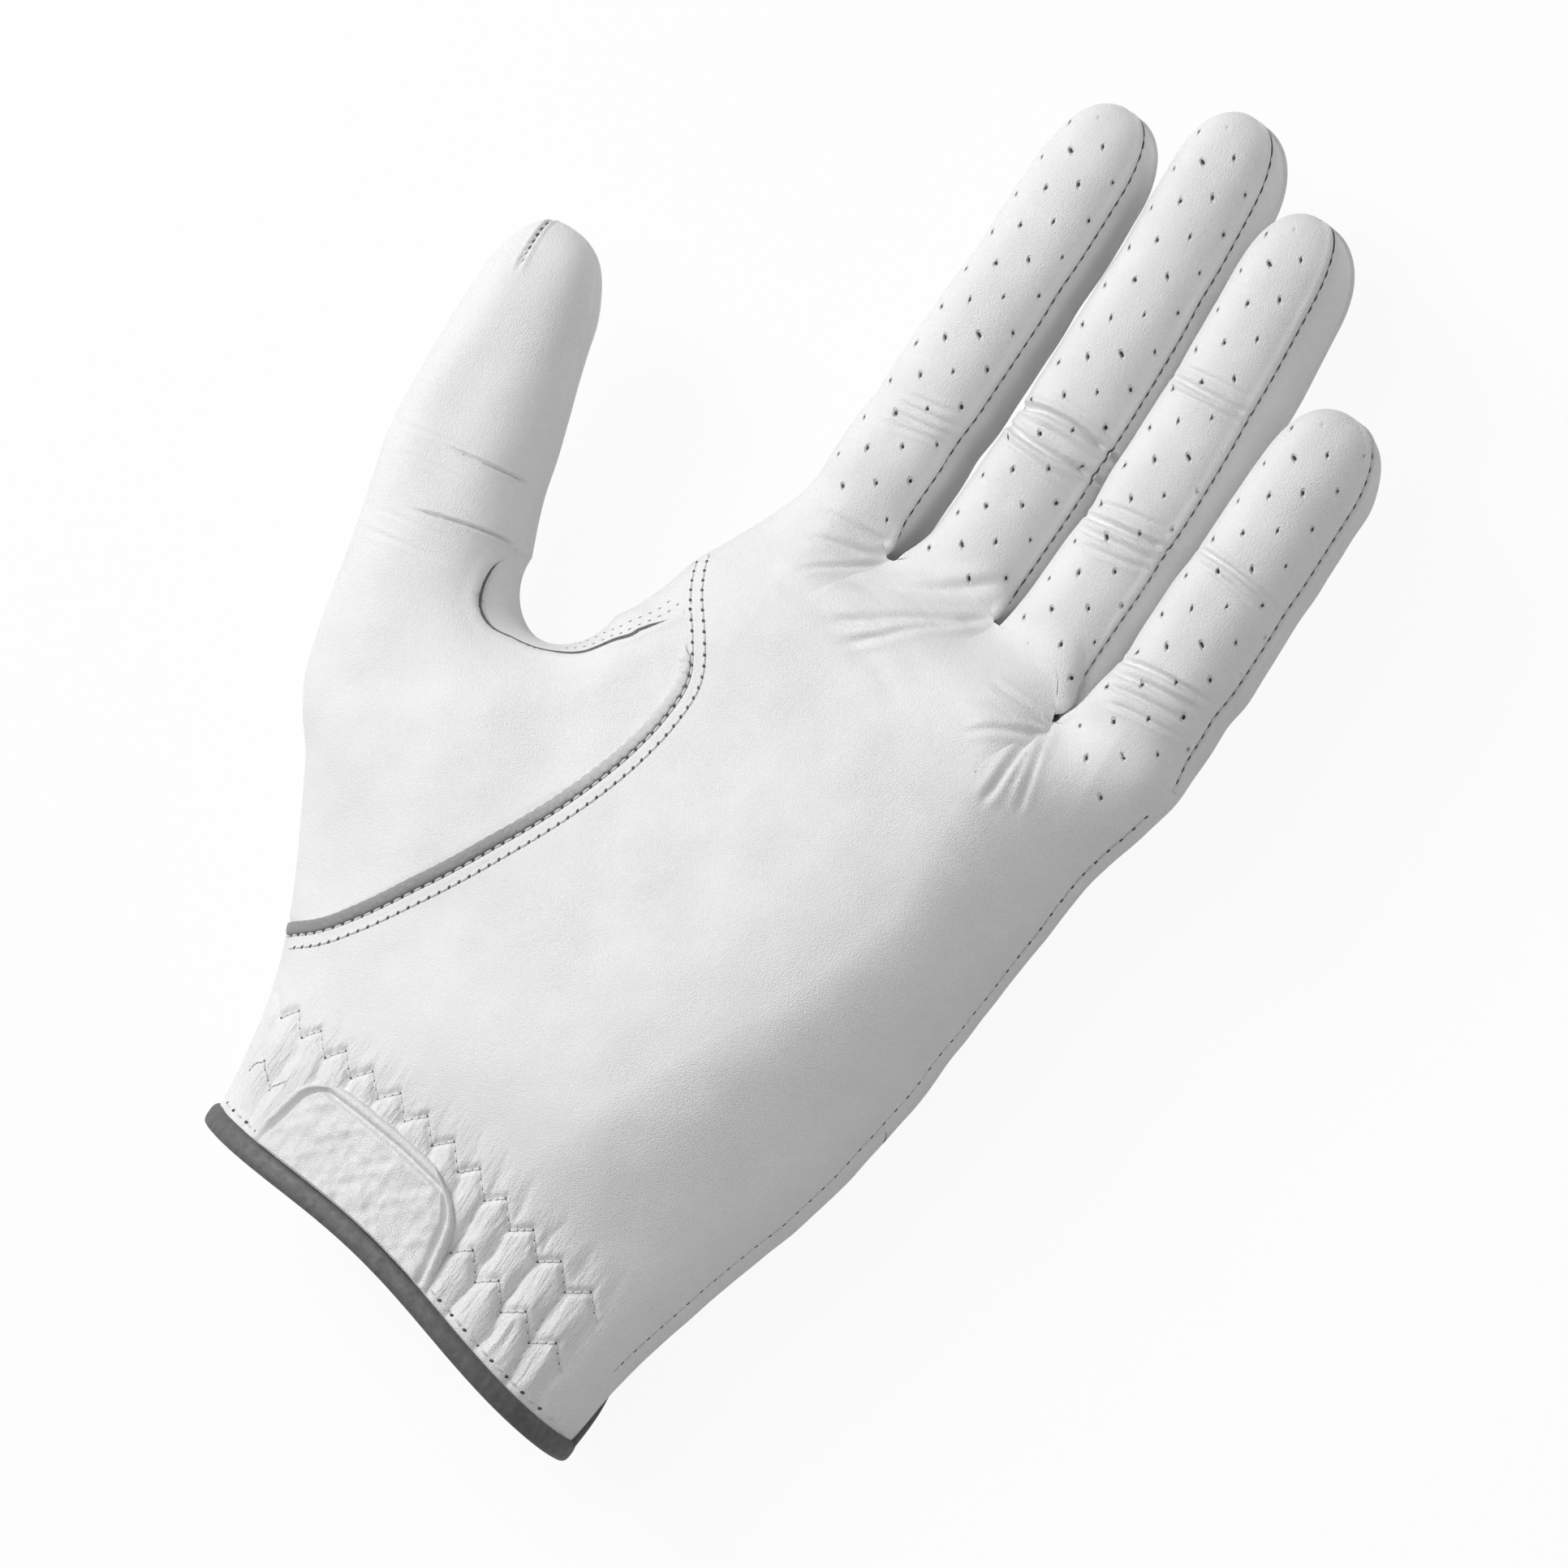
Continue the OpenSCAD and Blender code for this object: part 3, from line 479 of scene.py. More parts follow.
def hand_relief(x, y, facing):
    """Relief of the whole hand; facing is 1 where the leather faces the palm side."""
    palm = smooth(-0.15, 0.35, facing)
    total = 0.22 * ripple(x, y, 17.0, 1.0) + 0.10 * ripple(x, y, 8.0, 2.0)
    deep = smooth(-70.0, -45.0, y)
    total = total * mix(0.6, 1.0, deep)
    for item in FOLDS:
        total = total + palm * fold(x, y, *item)
    total = total + palm * (smocking(x, y) + palm_form(x, y) + web_lip(x, y))
    calm = mix(1.0, smooth(0.1, 1.3, web_way(x, y)), smooth(40.0, 34.0, y))
    wrist = mix(1.0, smooth(0.0, 1.4, x - spline(INNER_EDGE, y)), smooth(-54.0, -59.0, y))
    return total * calm * wrist


def relief_at(p, n):
    """Relief of the hand at points with their normals."""
    return hand_relief(p[..., 0], p[..., 1], n[..., 2])


def raised(p, n, d):
    """Points moved along their normals by d."""
    return p + d[..., None] * n


# building meshes


def cells(rows, columns, close=False, flip=False):
    """Quads of a grid of rows and columns; a closed grid joins its last column to its first."""
    i = np.arange(rows - 1)[:, None] * columns
    k = np.arange(columns if close else columns - 1)[None, :]
    after = (k + 1) % columns
    quad = np.stack([i + k, i + after, i + columns + after, i + columns + k], axis=-1)
    quad = quad.reshape(-1, 4)
    return quad[:, ::-1] if flip else quad


def mesh_object(name, points, faces, material, layers=None):
    """A new object at the origin from points in the hand's frame and quads or triangles."""
    flat = place(points).reshape(-1, 3)
    mesh = bpy.data.meshes.new(name)
    size = faces.shape[1]
    mesh.vertices.add(len(flat))
    mesh.vertices.foreach_set("co", flat.ravel())
    mesh.loops.add(faces.size)
    mesh.loops.foreach_set("vertex_index", faces.ravel().astype(np.int32))
    mesh.polygons.add(len(faces))
    mesh.polygons.foreach_set("loop_start", np.arange(len(faces), dtype=np.int32) * size)
    mesh.polygons.foreach_set("use_smooth", np.ones(len(faces), dtype=bool))
    for key, value in (layers or {}).items():
        kind = "FLOAT_VECTOR" if value.shape[-1] == 3 and value.ndim > 1 else "FLOAT"
        layer = mesh.attributes.new(key, kind, "POINT")
        field = "vector" if kind == "FLOAT_VECTOR" else "value"
        layer.data.foreach_set(field, value.astype(np.float32).ravel())
    mesh.update(calc_edges=True)
    mesh.validate()
    mesh.materials.append(material)
    obj = bpy.data.objects.new(name, mesh)
    bpy.context.scene.collection.objects.link(obj)
    return obj


def arc(p):
    """Running length along each row of a grid of points."""
    step = np.linalg.norm(np.diff(p, axis=1), axis=-1)
    zero = np.zeros((p.shape[0], 1))
    return np.concatenate([zero, np.cumsum(step, axis=1)], axis=1)


def wrinkles(p):
    """Where fine wrinkles run along the hand (at the gathers) and across it (at the folds)."""
    x = p[..., 0]
    y = p[..., 1]
    up = y - cuff_y(x)
    gathers = smooth(2.0, 6.0, up) * smooth(ZIG_UP + GATHER_UP, ZIG_UP - 2.0, up)
    front = smooth(0.0, 2.0, p[..., 2] - palm_mid(x, y))
    gathers = gathers * front * smooth(34.0, 24.0, x) * smooth(-46.0, -36.0, x)
    folds = 0.0 * x
    for start, stop, _, depth, _, bow in FOLDS:
        weight = min(1.0, WRINKLE_GAIN * depth)
        folds = folds + fold(x, y, start, stop, WRINKLE_SPREAD, -weight, 0.0, bow)
    folds = front * np.clip(folds, 0.0, 1.0)
    return np.stack([gathers, folds, 0.0 * x], axis=-1).reshape(-1, 3)


def cloth(p, u, v, mask):
    """Layers with the leather's own coordinates in mm, a mask for its holes, and its wrinkles."""
    own = np.stack([u, v, mask * np.ones_like(u)], axis=-1).reshape(-1, 3)
    return {"cloth": own, "wrinkles": wrinkles(p)}


# hand panels: columns run from the little finger's side to the thumb's side

LOBE_STEPS = 70
CUFF_PART = 0.24
CUFF_ROWS = 100
UPPER_ROWS = 180
even_turn = np.linspace(0.0, 1.0, LOBE_STEPS, endpoint=False)
even_width = np.arccos(1.0 - 2.0 * even_turn) / np.pi
one_lobe = 0.35 * even_turn + 0.65 * even_width
LOBE = np.append((np.arange(4)[:, None] + one_lobe[None, :]).ravel(), 4.0)
# seam angles of the side strips, the outer ones by finger, towards the palm
SEAM_TURN = math.radians(23.0)
OUT_TURN = [math.radians(26.0), math.radians(23.0), math.radians(38.0), math.radians(9.0)]
# height of the crotches as a share of a finger's half height, and how far below the lobes begin
VALLEY = 0.74
LOBE_REACH = 12.0


def lobe_parts(lobe):
    """Finger number and angle (0 to pi) across that finger for a place along the row of lobes."""
    slot_no = np.minimum(3, np.floor(lobe)).astype(int)
    return 3 - slot_no, (lobe - slot_no) * np.pi


def lobe_share(lobe):
    """Share of the hand's width at a place along the row of lobes, 0 at the little finger."""
    finger, turn = lobe_parts(lobe)
    x = np.asarray(FINGER_X)
    middle = (x[1:] + x[:-1]) / 2
    high = np.append(middle, x[3] + HALF_W)[finger]
    low = np.append(x[0] - HALF_W, middle)[finger]
    at = (high + low) / 2 + (high - low) / 2 * np.cos(turn)
    first = x[3] + HALF_W
    return (first - at) / (first - (x[0] - HALF_W))


def lobe_low(finger, turn):
    """Crotch height at the nearer side of a finger; its knuckle height on the outermost sides."""
    knuckle = np.asarray(KNUCKLE_Y)[finger]
    outer = np.append(CROTCH_Y, KNUCKLE_Y[3])[finger]
    inner = np.append(KNUCKLE_Y[0], CROTCH_Y)[finger]
    return np.where(np.cos(turn) > 0, outer, inner), knuckle


def lobe_top(lobe):
    """Upper end of the hand panels: low in the crotches, at the knuckle in mid finger."""
    finger, turn = lobe_parts(lobe)
    low, knuckle = lobe_low(finger, turn)
    seam = 0.9 * np.where(np.cos(turn) > 0, np.asarray(OUT_TURN)[finger], SEAM_TURN)
    away = np.minimum(turn, np.pi - turn)
    rise = np.sin(np.pi / 2 * np.clip((away - seam) / (np.pi / 2 - seam), 0.0, 1.0))
    return mix(knuckle, low, (1.0 - rise) ** 1.5)


def hand_surface(lobe, y, side, slit=False):
    """Point of the palm (side 1) or back (side -1): the hand's height, drawn into finger lobes."""
    finger, turn = lobe_parts(lobe)
    low, knuckle = lobe_low(finger, turn)
    start = slit_side(y) if slit else spline(OUTER_EDGE, y)
    x = mix(start, palm_limit(y), lobe_share(lobe))
    near = 1.0 - smooth(0.0, LOBE_REACH, mix(low + 0.3, knuckle - 1.0, np.sin(turn) ** 2) - y)
    outermost = ((finger == 3) & (np.cos(turn) > 0)) | ((finger == 0) & (np.cos(turn) < 0))
    lobe_rise = np.where(outermost, oval(np.cos(turn)), mix(VALLEY, 1.0, np.sin(turn) ** 3))
    rise = mix(hand_rise(x, y), HALF_H * lobe_rise, near)
    return np.stack([x, y + 0.0 * x, palm_mid(x, y) + side * rise], axis=-1)


def hand_rows(slit):
    """Row places for a hand panel: close at the cuff for the gathers, wider above."""
    low = np.linspace(0.0, CUFF_PART, CUFF_ROWS, endpoint=False)
    high = np.linspace(CUFF_PART, 1.0, UPPER_ROWS)
    r = np.concatenate([low, high])[:, None]
    share = lobe_share(LOBE)[None, :]
    first = slit_side(CUFF_OUTER_Y) if slit else spline(OUTER_EDGE, CUFF_OUTER_Y)
    x = mix(first, spline(INNER_EDGE, CUFF_INNER_Y), share)
    return mix(cuff_y(x), lobe_top(LOBE)[None, :], r)


# distance of the outer seam from the hand's edge, along the leather
OUTER_SEAM_IN = 2.3


def hand_panel(name, side, slit, material, mask):
    """One face of the hand as a single grid, from the cuff to the knuckles."""
    y = hand_rows(slit)
    p = hand_surface(LOBE[None, :] + 0.0 * y, y, side, slit)
    s = arc(p)
    total = s[:, -1:]
    n = grid_normals(p, -side)
    flat = plan_normals(p[..., 0], p[..., 1], side + 0.0 * y)
    near_thumb = smooth(9.0, 3.0, total - s) * smooth(20.0, 10.0, y)
    n = unit(mix(n, flat, near_thumb[..., None]))
    d = relief_at(p, n)
    if not slit:
        d = d + seam_groove(s - OUTER_SEAM_IN, 0.28, 0.32)
    at_seam = (p[..., 1] > SEAM_LOW_Y) & (p[..., 1] < SEAM_TOP_Y)
    fades = smooth(12.0, 5.0, p[..., 1])
    groove = fades * seam_groove(total - s - SEAM_IN, SEAM_DEPTH, SEAM_WIDTH)
    d = d + np.where(at_seam, groove, 0.0)
    q = raised(p, n, d)
    holes = mask(p)
    little_tip = KNUCKLE_Y[3] + REACH[3]
    layers = cloth(p, FINGER_X[3] - p[..., 0], p[..., 1] - little_tip, holes)
    faces = cells(*y.shape, flip=side > 0)
    return mesh_object(name, q, faces, material, layers), (q, n, s)


def little_holes(p):
    """Holes run from the little finger a little way into the palm."""
    x = p[..., 0]
    y = p[..., 1]
    inside = spline(OUTER_EDGE, y) - x
    return smooth(34.5, 35.5, x) * smooth(2.7, 3.3, inside) * smooth(69.4, 70.2, y + 1.07 * x)


def no_holes(p):
    """A panel without holes."""
    return np.zeros(p.shape[:-1])


# finger sleeves: angle 0 is the little finger's side, 90 degrees the palm side

WRAP_TURN = math.radians(199.0)
STRIP_SINK = 0.40
# columns of a panel and of a side strip, rows of a base and of an end sleeve
PANEL_COLUMNS = 84
STRIP_COLUMNS = 30
BASE_ROWS = 80
END_ROWS = 220
# shares that stop just short of a tip's pole and of a lobe's end
TIP_SHARE = 0.9998
LOBE_END = 0.9999
# how far a finger's bend reaches: past its knuckle, and to both sides of its middle joint
JOINT_REACH = 5.5


def strip_limits(i):
    """Side strips of a finger as (middle angle, lower limit, upper limit)."""
    outer = (0.0, -SEAM_TURN, OUT_TURN[i])
    inner = (np.pi, -SEAM_TURN, SEAM_TURN)
    return {0: [outer], 1: [outer, inner], 2: [outer, inner], 3: [inner]}[i]


def tip_scale(y, tip):
    """Scale of the section towards a rounded tip."""
    u = np.clip((y - tip + TIP_ROUND) / TIP_ROUND, 0.0, 1.0) * TIP_SHARE
    return np.where(y < tip - TIP_ROUND, 1.0, oval(u))


def tip_rows(start, tip, round_part, count):
    """Rows from a start to a rounded tip; the last part of them closes up over the tip."""
    r = np.linspace(0.0, 1.0, count)[:, None]
    straight_part = 1.0 - round_part
    straight = mix(start, tip - TIP_ROUND, r / straight_part)
    over = np.sin(np.pi / 2 * (r - straight_part) / round_part)
    return np.where(r < straight_part, straight, tip - TIP_ROUND + TIP_ROUND * over)


def finger_lobe(i, turn):
    """Place along the row of lobes for an angle around a finger."""
    fold_turn = np.arccos(np.clip(np.cos(turn), -1.0, 1.0))
    return (3 - i) + np.clip(fold_turn / np.pi, 0.0, LOBE_END)


def finger_root(i, turn, y):
    """Root of a finger: the hand's lobe, with the side strips straight between their two seams."""
    up = np.where(np.sin(turn) >= 0.0, 1.0, -1.0)
    root = hand_surface(finger_lobe(i, turn), y, up)
    for middle, low, high in strip_limits(i):
        side = np.arctan2(np.sin(turn - middle), np.cos(turn - middle))
        a, b = [hand_surface(finger_lobe(i, middle + limit + 0.0 * turn), y,
                             np.sign(np.sin(middle + limit)) + 0.0 * turn) for limit in (low, high)]
        t = np.clip((side - low) / (high - low), 0.0, 1.0)[..., None]
        inside = ((side > low) & (side < high))[..., None]
        root = np.where(inside, mix(a, b, t), root)
    return root


# places along Y where the joints pinch each finger
PINCHES = [[55.5, 82.0], [64.2, 93.0], [58.5, 82.3], [43.5, 62.0]]
PINCH_WIDTH = 3.2
PINCH_DEPTH = 0.045
FULLNESS = 1.015
# how far each finger's leather lies over to the thumb's side, and the angle it leans to
SKEW = [0.04, 0.09, 0.08, 0.09]
SKEW_TURN = 2.1
# narrowing towards the tip, and heights at which the tube has grown out of the hand's lobe
TAPER = 0.11
ROOT_UP = 8.0
GROW_UP = 6.5


def finger_fullness(i, turn, y):
    """Fullness of a section: pads between the joints, and more leather on the thumb's side."""
    skew = SKEW[i] * np.cos(2.0 * (turn - SKEW_TURN))
    first, second = PINCHES[i]
    pinch = bell(y - first, PINCH_WIDTH) + 0.6 * bell(y - second, PINCH_WIDTH)
    return FULLNESS + skew - PINCH_DEPTH * pinch


def finger_surface(i, turn, y):
    """Finger tube: squarish oval sections that lean and taper, grown out of the hand's lobe."""
    t = (y - KNUCKLE_Y[i]) / REACH[i]
    middle = FINGER_X[i] - LEAN[i] * np.maximum(0.0, (t - 0.2) / 0.8) ** 1.7
    size = tip_scale(y, KNUCKLE_Y[i] + REACH[i]) * (1.0 - TAPER * t * t)
    up = np.where(np.sin(turn) >= 0.0, 1.0, -1.0)
    full = finger_fullness(i, turn, y)
    x = middle + full * size * HALF_W * np.cos(turn)
    z = LIFT[i] + full * up * size * HALF_H * oval(np.cos(turn))
    tube = np.stack([x, y + 0.0 * x, z], axis=-1)
    root = finger_root(i, turn, np.minimum(y, KNUCKLE_Y[i] + ROOT_UP))
    root[..., 1] = y
    grown = smooth(0.0, GROW_UP, y - lobe_top(finger_lobe(i, turn)))[..., None]
    return mix(root, tube, grown)


def split_y(i):
    """Where the base sleeve of a finger ends and its end sleeve begins."""
    return KNUCKLE_Y[i] + CREASE[i] - JOINT_REACH


def bend_with_finger(obj, part):
    """Bakes a piece's placement into its mesh, alike for the base sleeve and the end sleeve."""
    if part == "base":
        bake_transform(obj)
    else:
        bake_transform(obj)


def panel_seams(i, kind):
    """First and last angle of one panel of a finger."""
    inner = WRAP_TURN if i == 0 else np.pi - SEAM_TURN
    back_start = inner if i == 0 else np.pi + SEAM_TURN
    back_stop = 2.0 * np.pi + (OUT_TURN[3] if i == 3 else -SEAM_TURN)
    limits = {
        "palm": (OUT_TURN[i], inner),
        "outer": (-SEAM_TURN, OUT_TURN[i]),
        "inner": (np.pi - SEAM_TURN, np.pi + SEAM_TURN),
        "back": (back_start, back_stop),
    }
    return limits[kind]


def sleeve_points(i, kind, turn, y):
    """Sleeve panel with its relief: seams at both edges, side strips sunk a little."""
    p = finger_surface(i, turn, y)
    n = grid_normals(p, -1.0)
    d = relief_at(p, n)
    s = arc(p)
    total = s[:, -1:]
    nearest = np.minimum(s, total - s)
    above = smooth(1.0, 7.0, y - lobe_top(finger_lobe(i, turn)))
    d = d * mix(1.0, mix(0.25, 1.0, smooth(0.0, 2.2, nearest)), above)
    if kind in ("outer", "inner"):
        d = d - STRIP_SINK * smooth(0.0, 0.35, nearest)
    else:
        d = d + 0.16 * bell(nearest - 1.0, 0.6)
        d = d - 0.30 * bell(nearest, 0.3)
    # sections pinch to one point at the fingertip
    tip = KNUCKLE_Y[i] + REACH[i]
    close = smooth(0.02, 0.3, tip_scale(y, tip))
    q = raised(p, n, d * close)
    pole = np.array([FINGER_X[i] - LEAN[i], tip, LIFT[i]])
    return np.where((y >= tip - 1e-6)[..., None], pole, q), p, s


def sleeve(i, part, kind, material):
    """One panel of a finger, either its base sleeve or its end sleeve with the tip."""
    first, last = panel_seams(i, kind)
    columns = PANEL_COLUMNS if kind in ("palm", "back") else STRIP_COLUMNS
    turn = np.linspace(first, last, columns)[None, :]
    tip = KNUCKLE_Y[i] + REACH[i]
    if part == "base":
        r = np.linspace(0.0, 1.0, BASE_ROWS)[:, None]
        y = mix(lobe_top(finger_lobe(i, turn)), split_y(i), r)
    else:
        y = tip_rows(split_y(i), tip, 0.28, END_ROWS) + 0.0 * turn
    turn = turn + 0.0 * y
    q, p, s = sleeve_points(i, kind, turn, y)
    middle = np.argmin(np.abs(turn[0] - np.pi / 2))
    u = s - s[:, middle:middle + 1]
    wide = 1.0 if kind == "palm" else 0.0
    edge_free = smooth(1.0, 1.6, np.minimum(s, s[:, -1:] - s))
    holes = wide * edge_free * smooth(tip - 3.0, tip - 4.5, y)
    name = NAMES[i] + "_" + part + "_" + kind + "_leather"
    faces = cells(*y.shape, flip=True)
    obj = mesh_object(name, q, faces, material, cloth(p, u, y - tip, holes))
    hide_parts(NAMES[i] + "_" + part + "_" + kind)
    bend_with_finger(obj, part)


# thumb and web


def thumb_limit(y):
    """Palm side limit of the thumb's leather: thenar seam, then a line to the web, then the web."""
    low = spline(THENAR_SEAM, y)
    start = spline(THENAR_SEAM, GUSSET_LOW_Y)
    line = mix(start, WEB_X, (y - GUSSET_LOW_Y) / (WEB_Y - GUSSET_LOW_Y))
    return np.where(y < GUSSET_LOW_Y, low, np.where(y < WEB_Y, line, rim_x(y, -1)))


def thumb_surface(a, y):
    """Thumb ring from the palm's seam over the thumb's side to the back's seam, a from 0 to pi."""
    closing = smooth(-30.0, WEB_Y - 3.0, y)
    u = mix(np.sin(a), (1.0 - np.cos(2.0 * a)) / 2.0, closing)
    limit = thumb_limit(y)
    inner = spline(INNER_EDGE, y)
    x = mix(limit, inner, u)
    up = np.where(a <= np.pi / 2, 1.0, -1.0)
    z = palm_mid(x, y) + up * hand_rise(x, y)
    size = tip_scale(y, THUMB_TIP_Y)
    middle = (limit + inner) / 2
    x = np.where(y > WEB_MID_Y, middle + size * (x - middle), x)
    z = np.where(y > WEB_MID_Y, THUMB_LIFT + size * (z - THUMB_LIFT), z)
    return np.stack([x, y + 0.0 * x, z], axis=-1)


THUMB_SPLIT_Y = 9.0
THUMB_COLUMNS = 150


def thumb_sleeve(name, node_name, y):
    """Thumb leather over the rows y, with the seam on the web's side."""
    a = np.linspace(0.0, np.pi, THUMB_COLUMNS)[None, :] + 0.0 * y
    y = y + 0.0 * a
    p = thumb_surface(a, y)
    flat = plan_normals(p[..., 0], p[..., 1], np.where(a <= np.pi / 2, 1.0, -1.0))
    n = unit(mix(flat, grid_normals(p, -1.0), smooth(0.0, 8.0, y)[..., None]))
    d = relief_at(p, n)
    s = arc(p)
    nearest = np.minimum(s, s[:, -1:] - s)
    sewn = smooth(GUSSET_LOW_Y - 1.0, GUSSET_LOW_Y - 8.0, y)
    sewn = sewn + smooth(WEB_MID_Y - 2.0, WEB_MID_Y, y)
    d = d + sewn * seam_groove(nearest - SEAM_IN, SEAM_DEPTH, SEAM_WIDTH)
    d = d * smooth(0.02, 0.3, tip_scale(y, THUMB_TIP_Y)) * smooth(-60.0, -57.0, y)
    q = raised(p, n, d)
    at_tip = (y >= THUMB_TIP_Y - 1e-6)[..., None]
    q = np.where(at_tip, p[-1].mean(axis=0), q)
    layers = cloth(p, s, y, 0.0 * s)
    obj = mesh_object(name, q, cells(*y.shape, flip=True), PALM_LEATHER, layers)
    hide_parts(node_name)
    return obj


def gusset_surface(u, fan):
    """Web gusset from the thenar seam on the palm over the web's rim to the seam on the back."""
    ya = mix(GUSSET_LOW_Y, SEAM_TOP_Y + 0.9, u)
    yb = mix(WEB_Y, SEAM_TOP_Y + 0.9, u)
    xb = rim_x(yb, 1)
    under = 0.3 * smooth(12.0, 17.0, ya)
    xa = np.maximum(palm_limit(ya) + under, xb + 0.7)
    w = np.sin(np.pi / 2 * (1.0 - np.abs(fan)))
    x = mix(xa, xb, w)
    y = mix(ya, yb, w)
    side = np.where(fan <= 0.0, 1.0, -1.0)
    return hand_base(x, y, side)


# materials


def grey(value):
    """An even grey."""
    return (value, value, value, 1.0)


def tree_of(name):
    """A new material with its node tree and its surface shader."""
    material = bpy.data.materials.new(name)
    material.use_nodes = True
    tree = material.node_tree
    return material, tree, tree.nodes["Principled BSDF"]


def feed(tree, made, values):
    """Fills inputs of a node, by name or number, with linked sockets or plain values."""
    for key, value in values.items():
        if isinstance(value, bpy.types.NodeSocket):
            tree.links.new(value, made.inputs[key])
        else:
            made.inputs[key].default_value = value
    return made


def node(tree, kind, values=None, **settings):
    """A node with its settings and its inputs."""
    made = tree.nodes.new(kind)
    for key, value in settings.items():
        setattr(made, key, value)
    return feed(tree, made, values or {})


def math_node(tree, operation, *values):
    """A maths node fed by sockets or plain numbers."""
    return node(tree, "ShaderNodeMath", dict(enumerate(values)), operation=operation).outputs[0]


def object_coords(tree):
    """The piece's own coordinates in metres."""
    return node(tree, "ShaderNodeTexCoord").outputs["Object"]


def stretched(tree, coords, scale):
    """Coordinates scaled along each axis."""
    made = node(tree, "ShaderNodeMapping", {"Scale": scale, "Vector": coords})
    return made.outputs["Vector"]


def layer_parts(tree, name):
    """A vector layer of the mesh, and its three parts."""
    layer = node(tree, "ShaderNodeAttribute", attribute_name=name).outputs["Vector"]
    return layer, node(tree, "ShaderNodeSeparateXYZ", {0: layer}).outputs


def noise(tree, coords, scale, detail=4.0, roughness=0.5):
    """Noise on the given coordinates."""
    values = {"Scale": scale, "Detail": detail, "Roughness": roughness, "Vector": coords}
    return node(tree, "ShaderNodeTexNoise", values).outputs["Fac"]


def ramp(tree, value, low, high, start, stop):
    """A value taken from one range to another, held at the ends."""
    values = {"Value": value, "From Min": low, "From Max": high, "To Min": start, "To Max": stop}
    return node(tree, "ShaderNodeMapRange", values, clamp=True).outputs["Result"]


def blend_colour(tree, amount, first, second):
    """Two colours, or a socket and a colour, blended by an amount."""
    made = node(tree, "ShaderNodeMix", data_type="RGBA")
    return feed(tree, made, {0: amount, 6: first, 7: second}).outputs[2]


def bump(tree, height, distance, strength, normal=None):
    """A bump node on a height in metres."""
    values = {"Distance": distance, "Strength": strength, "Height": height}
    if normal is not None:
        values["Normal"] = normal
    return node(tree, "ShaderNodeBump", values).outputs["Normal"]


# air holes: pitch across and along, half width and half length, shift from column to column, lean
HOLE_ACROSS = 4.1
HOLE_ALONG = 6.6
HOLE_WIDE = 0.24
HOLE_LONG = 0.36
HOLE_SHIFT = 0.47
HOLE_LEAN = -0.35


def hole_mask(tree):
    """Staggered teardrop holes on the leather's own coordinates: 1 inside a hole."""
    layer, (u, v, allowed) = layer_parts(tree, "cloth")
    wobble = node(tree, "ShaderNodeTexNoise", {"Scale": 0.35, "Vector": layer})
    jitter = ramp(tree, wobble.outputs["Fac"], 0.3, 0.7, -0.09, 0.09)
    column = math_node(tree, "ADD", math_node(tree, "DIVIDE", u, HOLE_ACROSS), jitter)
    column_no = math_node(tree, "FLOOR", column)
    across = math_node(tree, "SUBTRACT", math_node(tree, "FRACT", column), 0.5)
    shift = math_node(tree, "MULTIPLY", column_no, HOLE_SHIFT)
    along = math_node(tree, "ADD", math_node(tree, "DIVIDE", v, HOLE_ALONG), shift)
    which = node(tree, "ShaderNodeCombineXYZ", {0: column_no, 1: math_node(tree, "FLOOR", along)})
    chance = node(tree, "ShaderNodeTexWhiteNoise", noise_dimensions="3D")
    feed(tree, chance, {"Vector": which.outputs[0]})
    tight = ramp(tree, chance.outputs["Value"], 0.0, 1.0, 0.95, 1.45)
    along = math_node(tree, "SUBTRACT", math_node(tree, "FRACT", along), 0.5)
    along_mm = math_node(tree, "MULTIPLY", along, HOLE_ALONG)
    across_mm = math_node(tree, "MULTIPLY", across, HOLE_ACROSS)
    lean_mm = math_node(tree, "MULTIPLY_ADD", along_mm, HOLE_LEAN, across_mm)
    squares = []
    for way, half in ((lean_mm, HOLE_WIDE), (along_mm, HOLE_LONG)):
        size = math_node(tree, "ABSOLUTE", math_node(tree, "DIVIDE", way, half))
        squares.append(math_node(tree, "POWER", size, 2.0))
    reach = math_node(tree, "SQRT", math_node(tree, "ADD", *squares))
    return math_node(tree, "MULTIPLY", reach, tight), allowed


# fine wrinkles at the gathers and at the folds: stretch of their noise, and depth in metres
GATHER_LINES = ((1.0, 0.16, 0.6), 0.00028)
FOLD_LINES = ((0.22, 1.0, 0.3), 0.00015)
# bumps of grain and holes in metres
GRAIN_DEPTH = 0.000075
HOLE_DEPTH = 0.00035
# leather patterns, by their scale for a metre
TONE_SCALE = 55.0
PATCHY_SCALE = 70.0
BROAD_SCALE = 520.0
LINE_SCALE = 620.0
PORE_SCALE = 4600.0
FINE_SCALE = 7000.0


def wrinkle_bump(tree, coords, normal):
    """Fine wrinkles: noise drawn out along the hand at the gathers, and across it at the folds."""
    parts = layer_parts(tree, "wrinkles")[1]
    for channel, (stretch, depth) in enumerate((GATHER_LINES, FOLD_LINES)):
        lines = noise(tree, stretched(tree, coords, stretch), LINE_SCALE, 5.0, 0.6)
        lines = ramp(tree, lines, 0.35, 0.65, 0.0, 1.0)
        height = math_node(tree, "MULTIPLY", lines, parts[channel])
        normal = bump(tree, height, depth, 1.0, normal)
    return normal


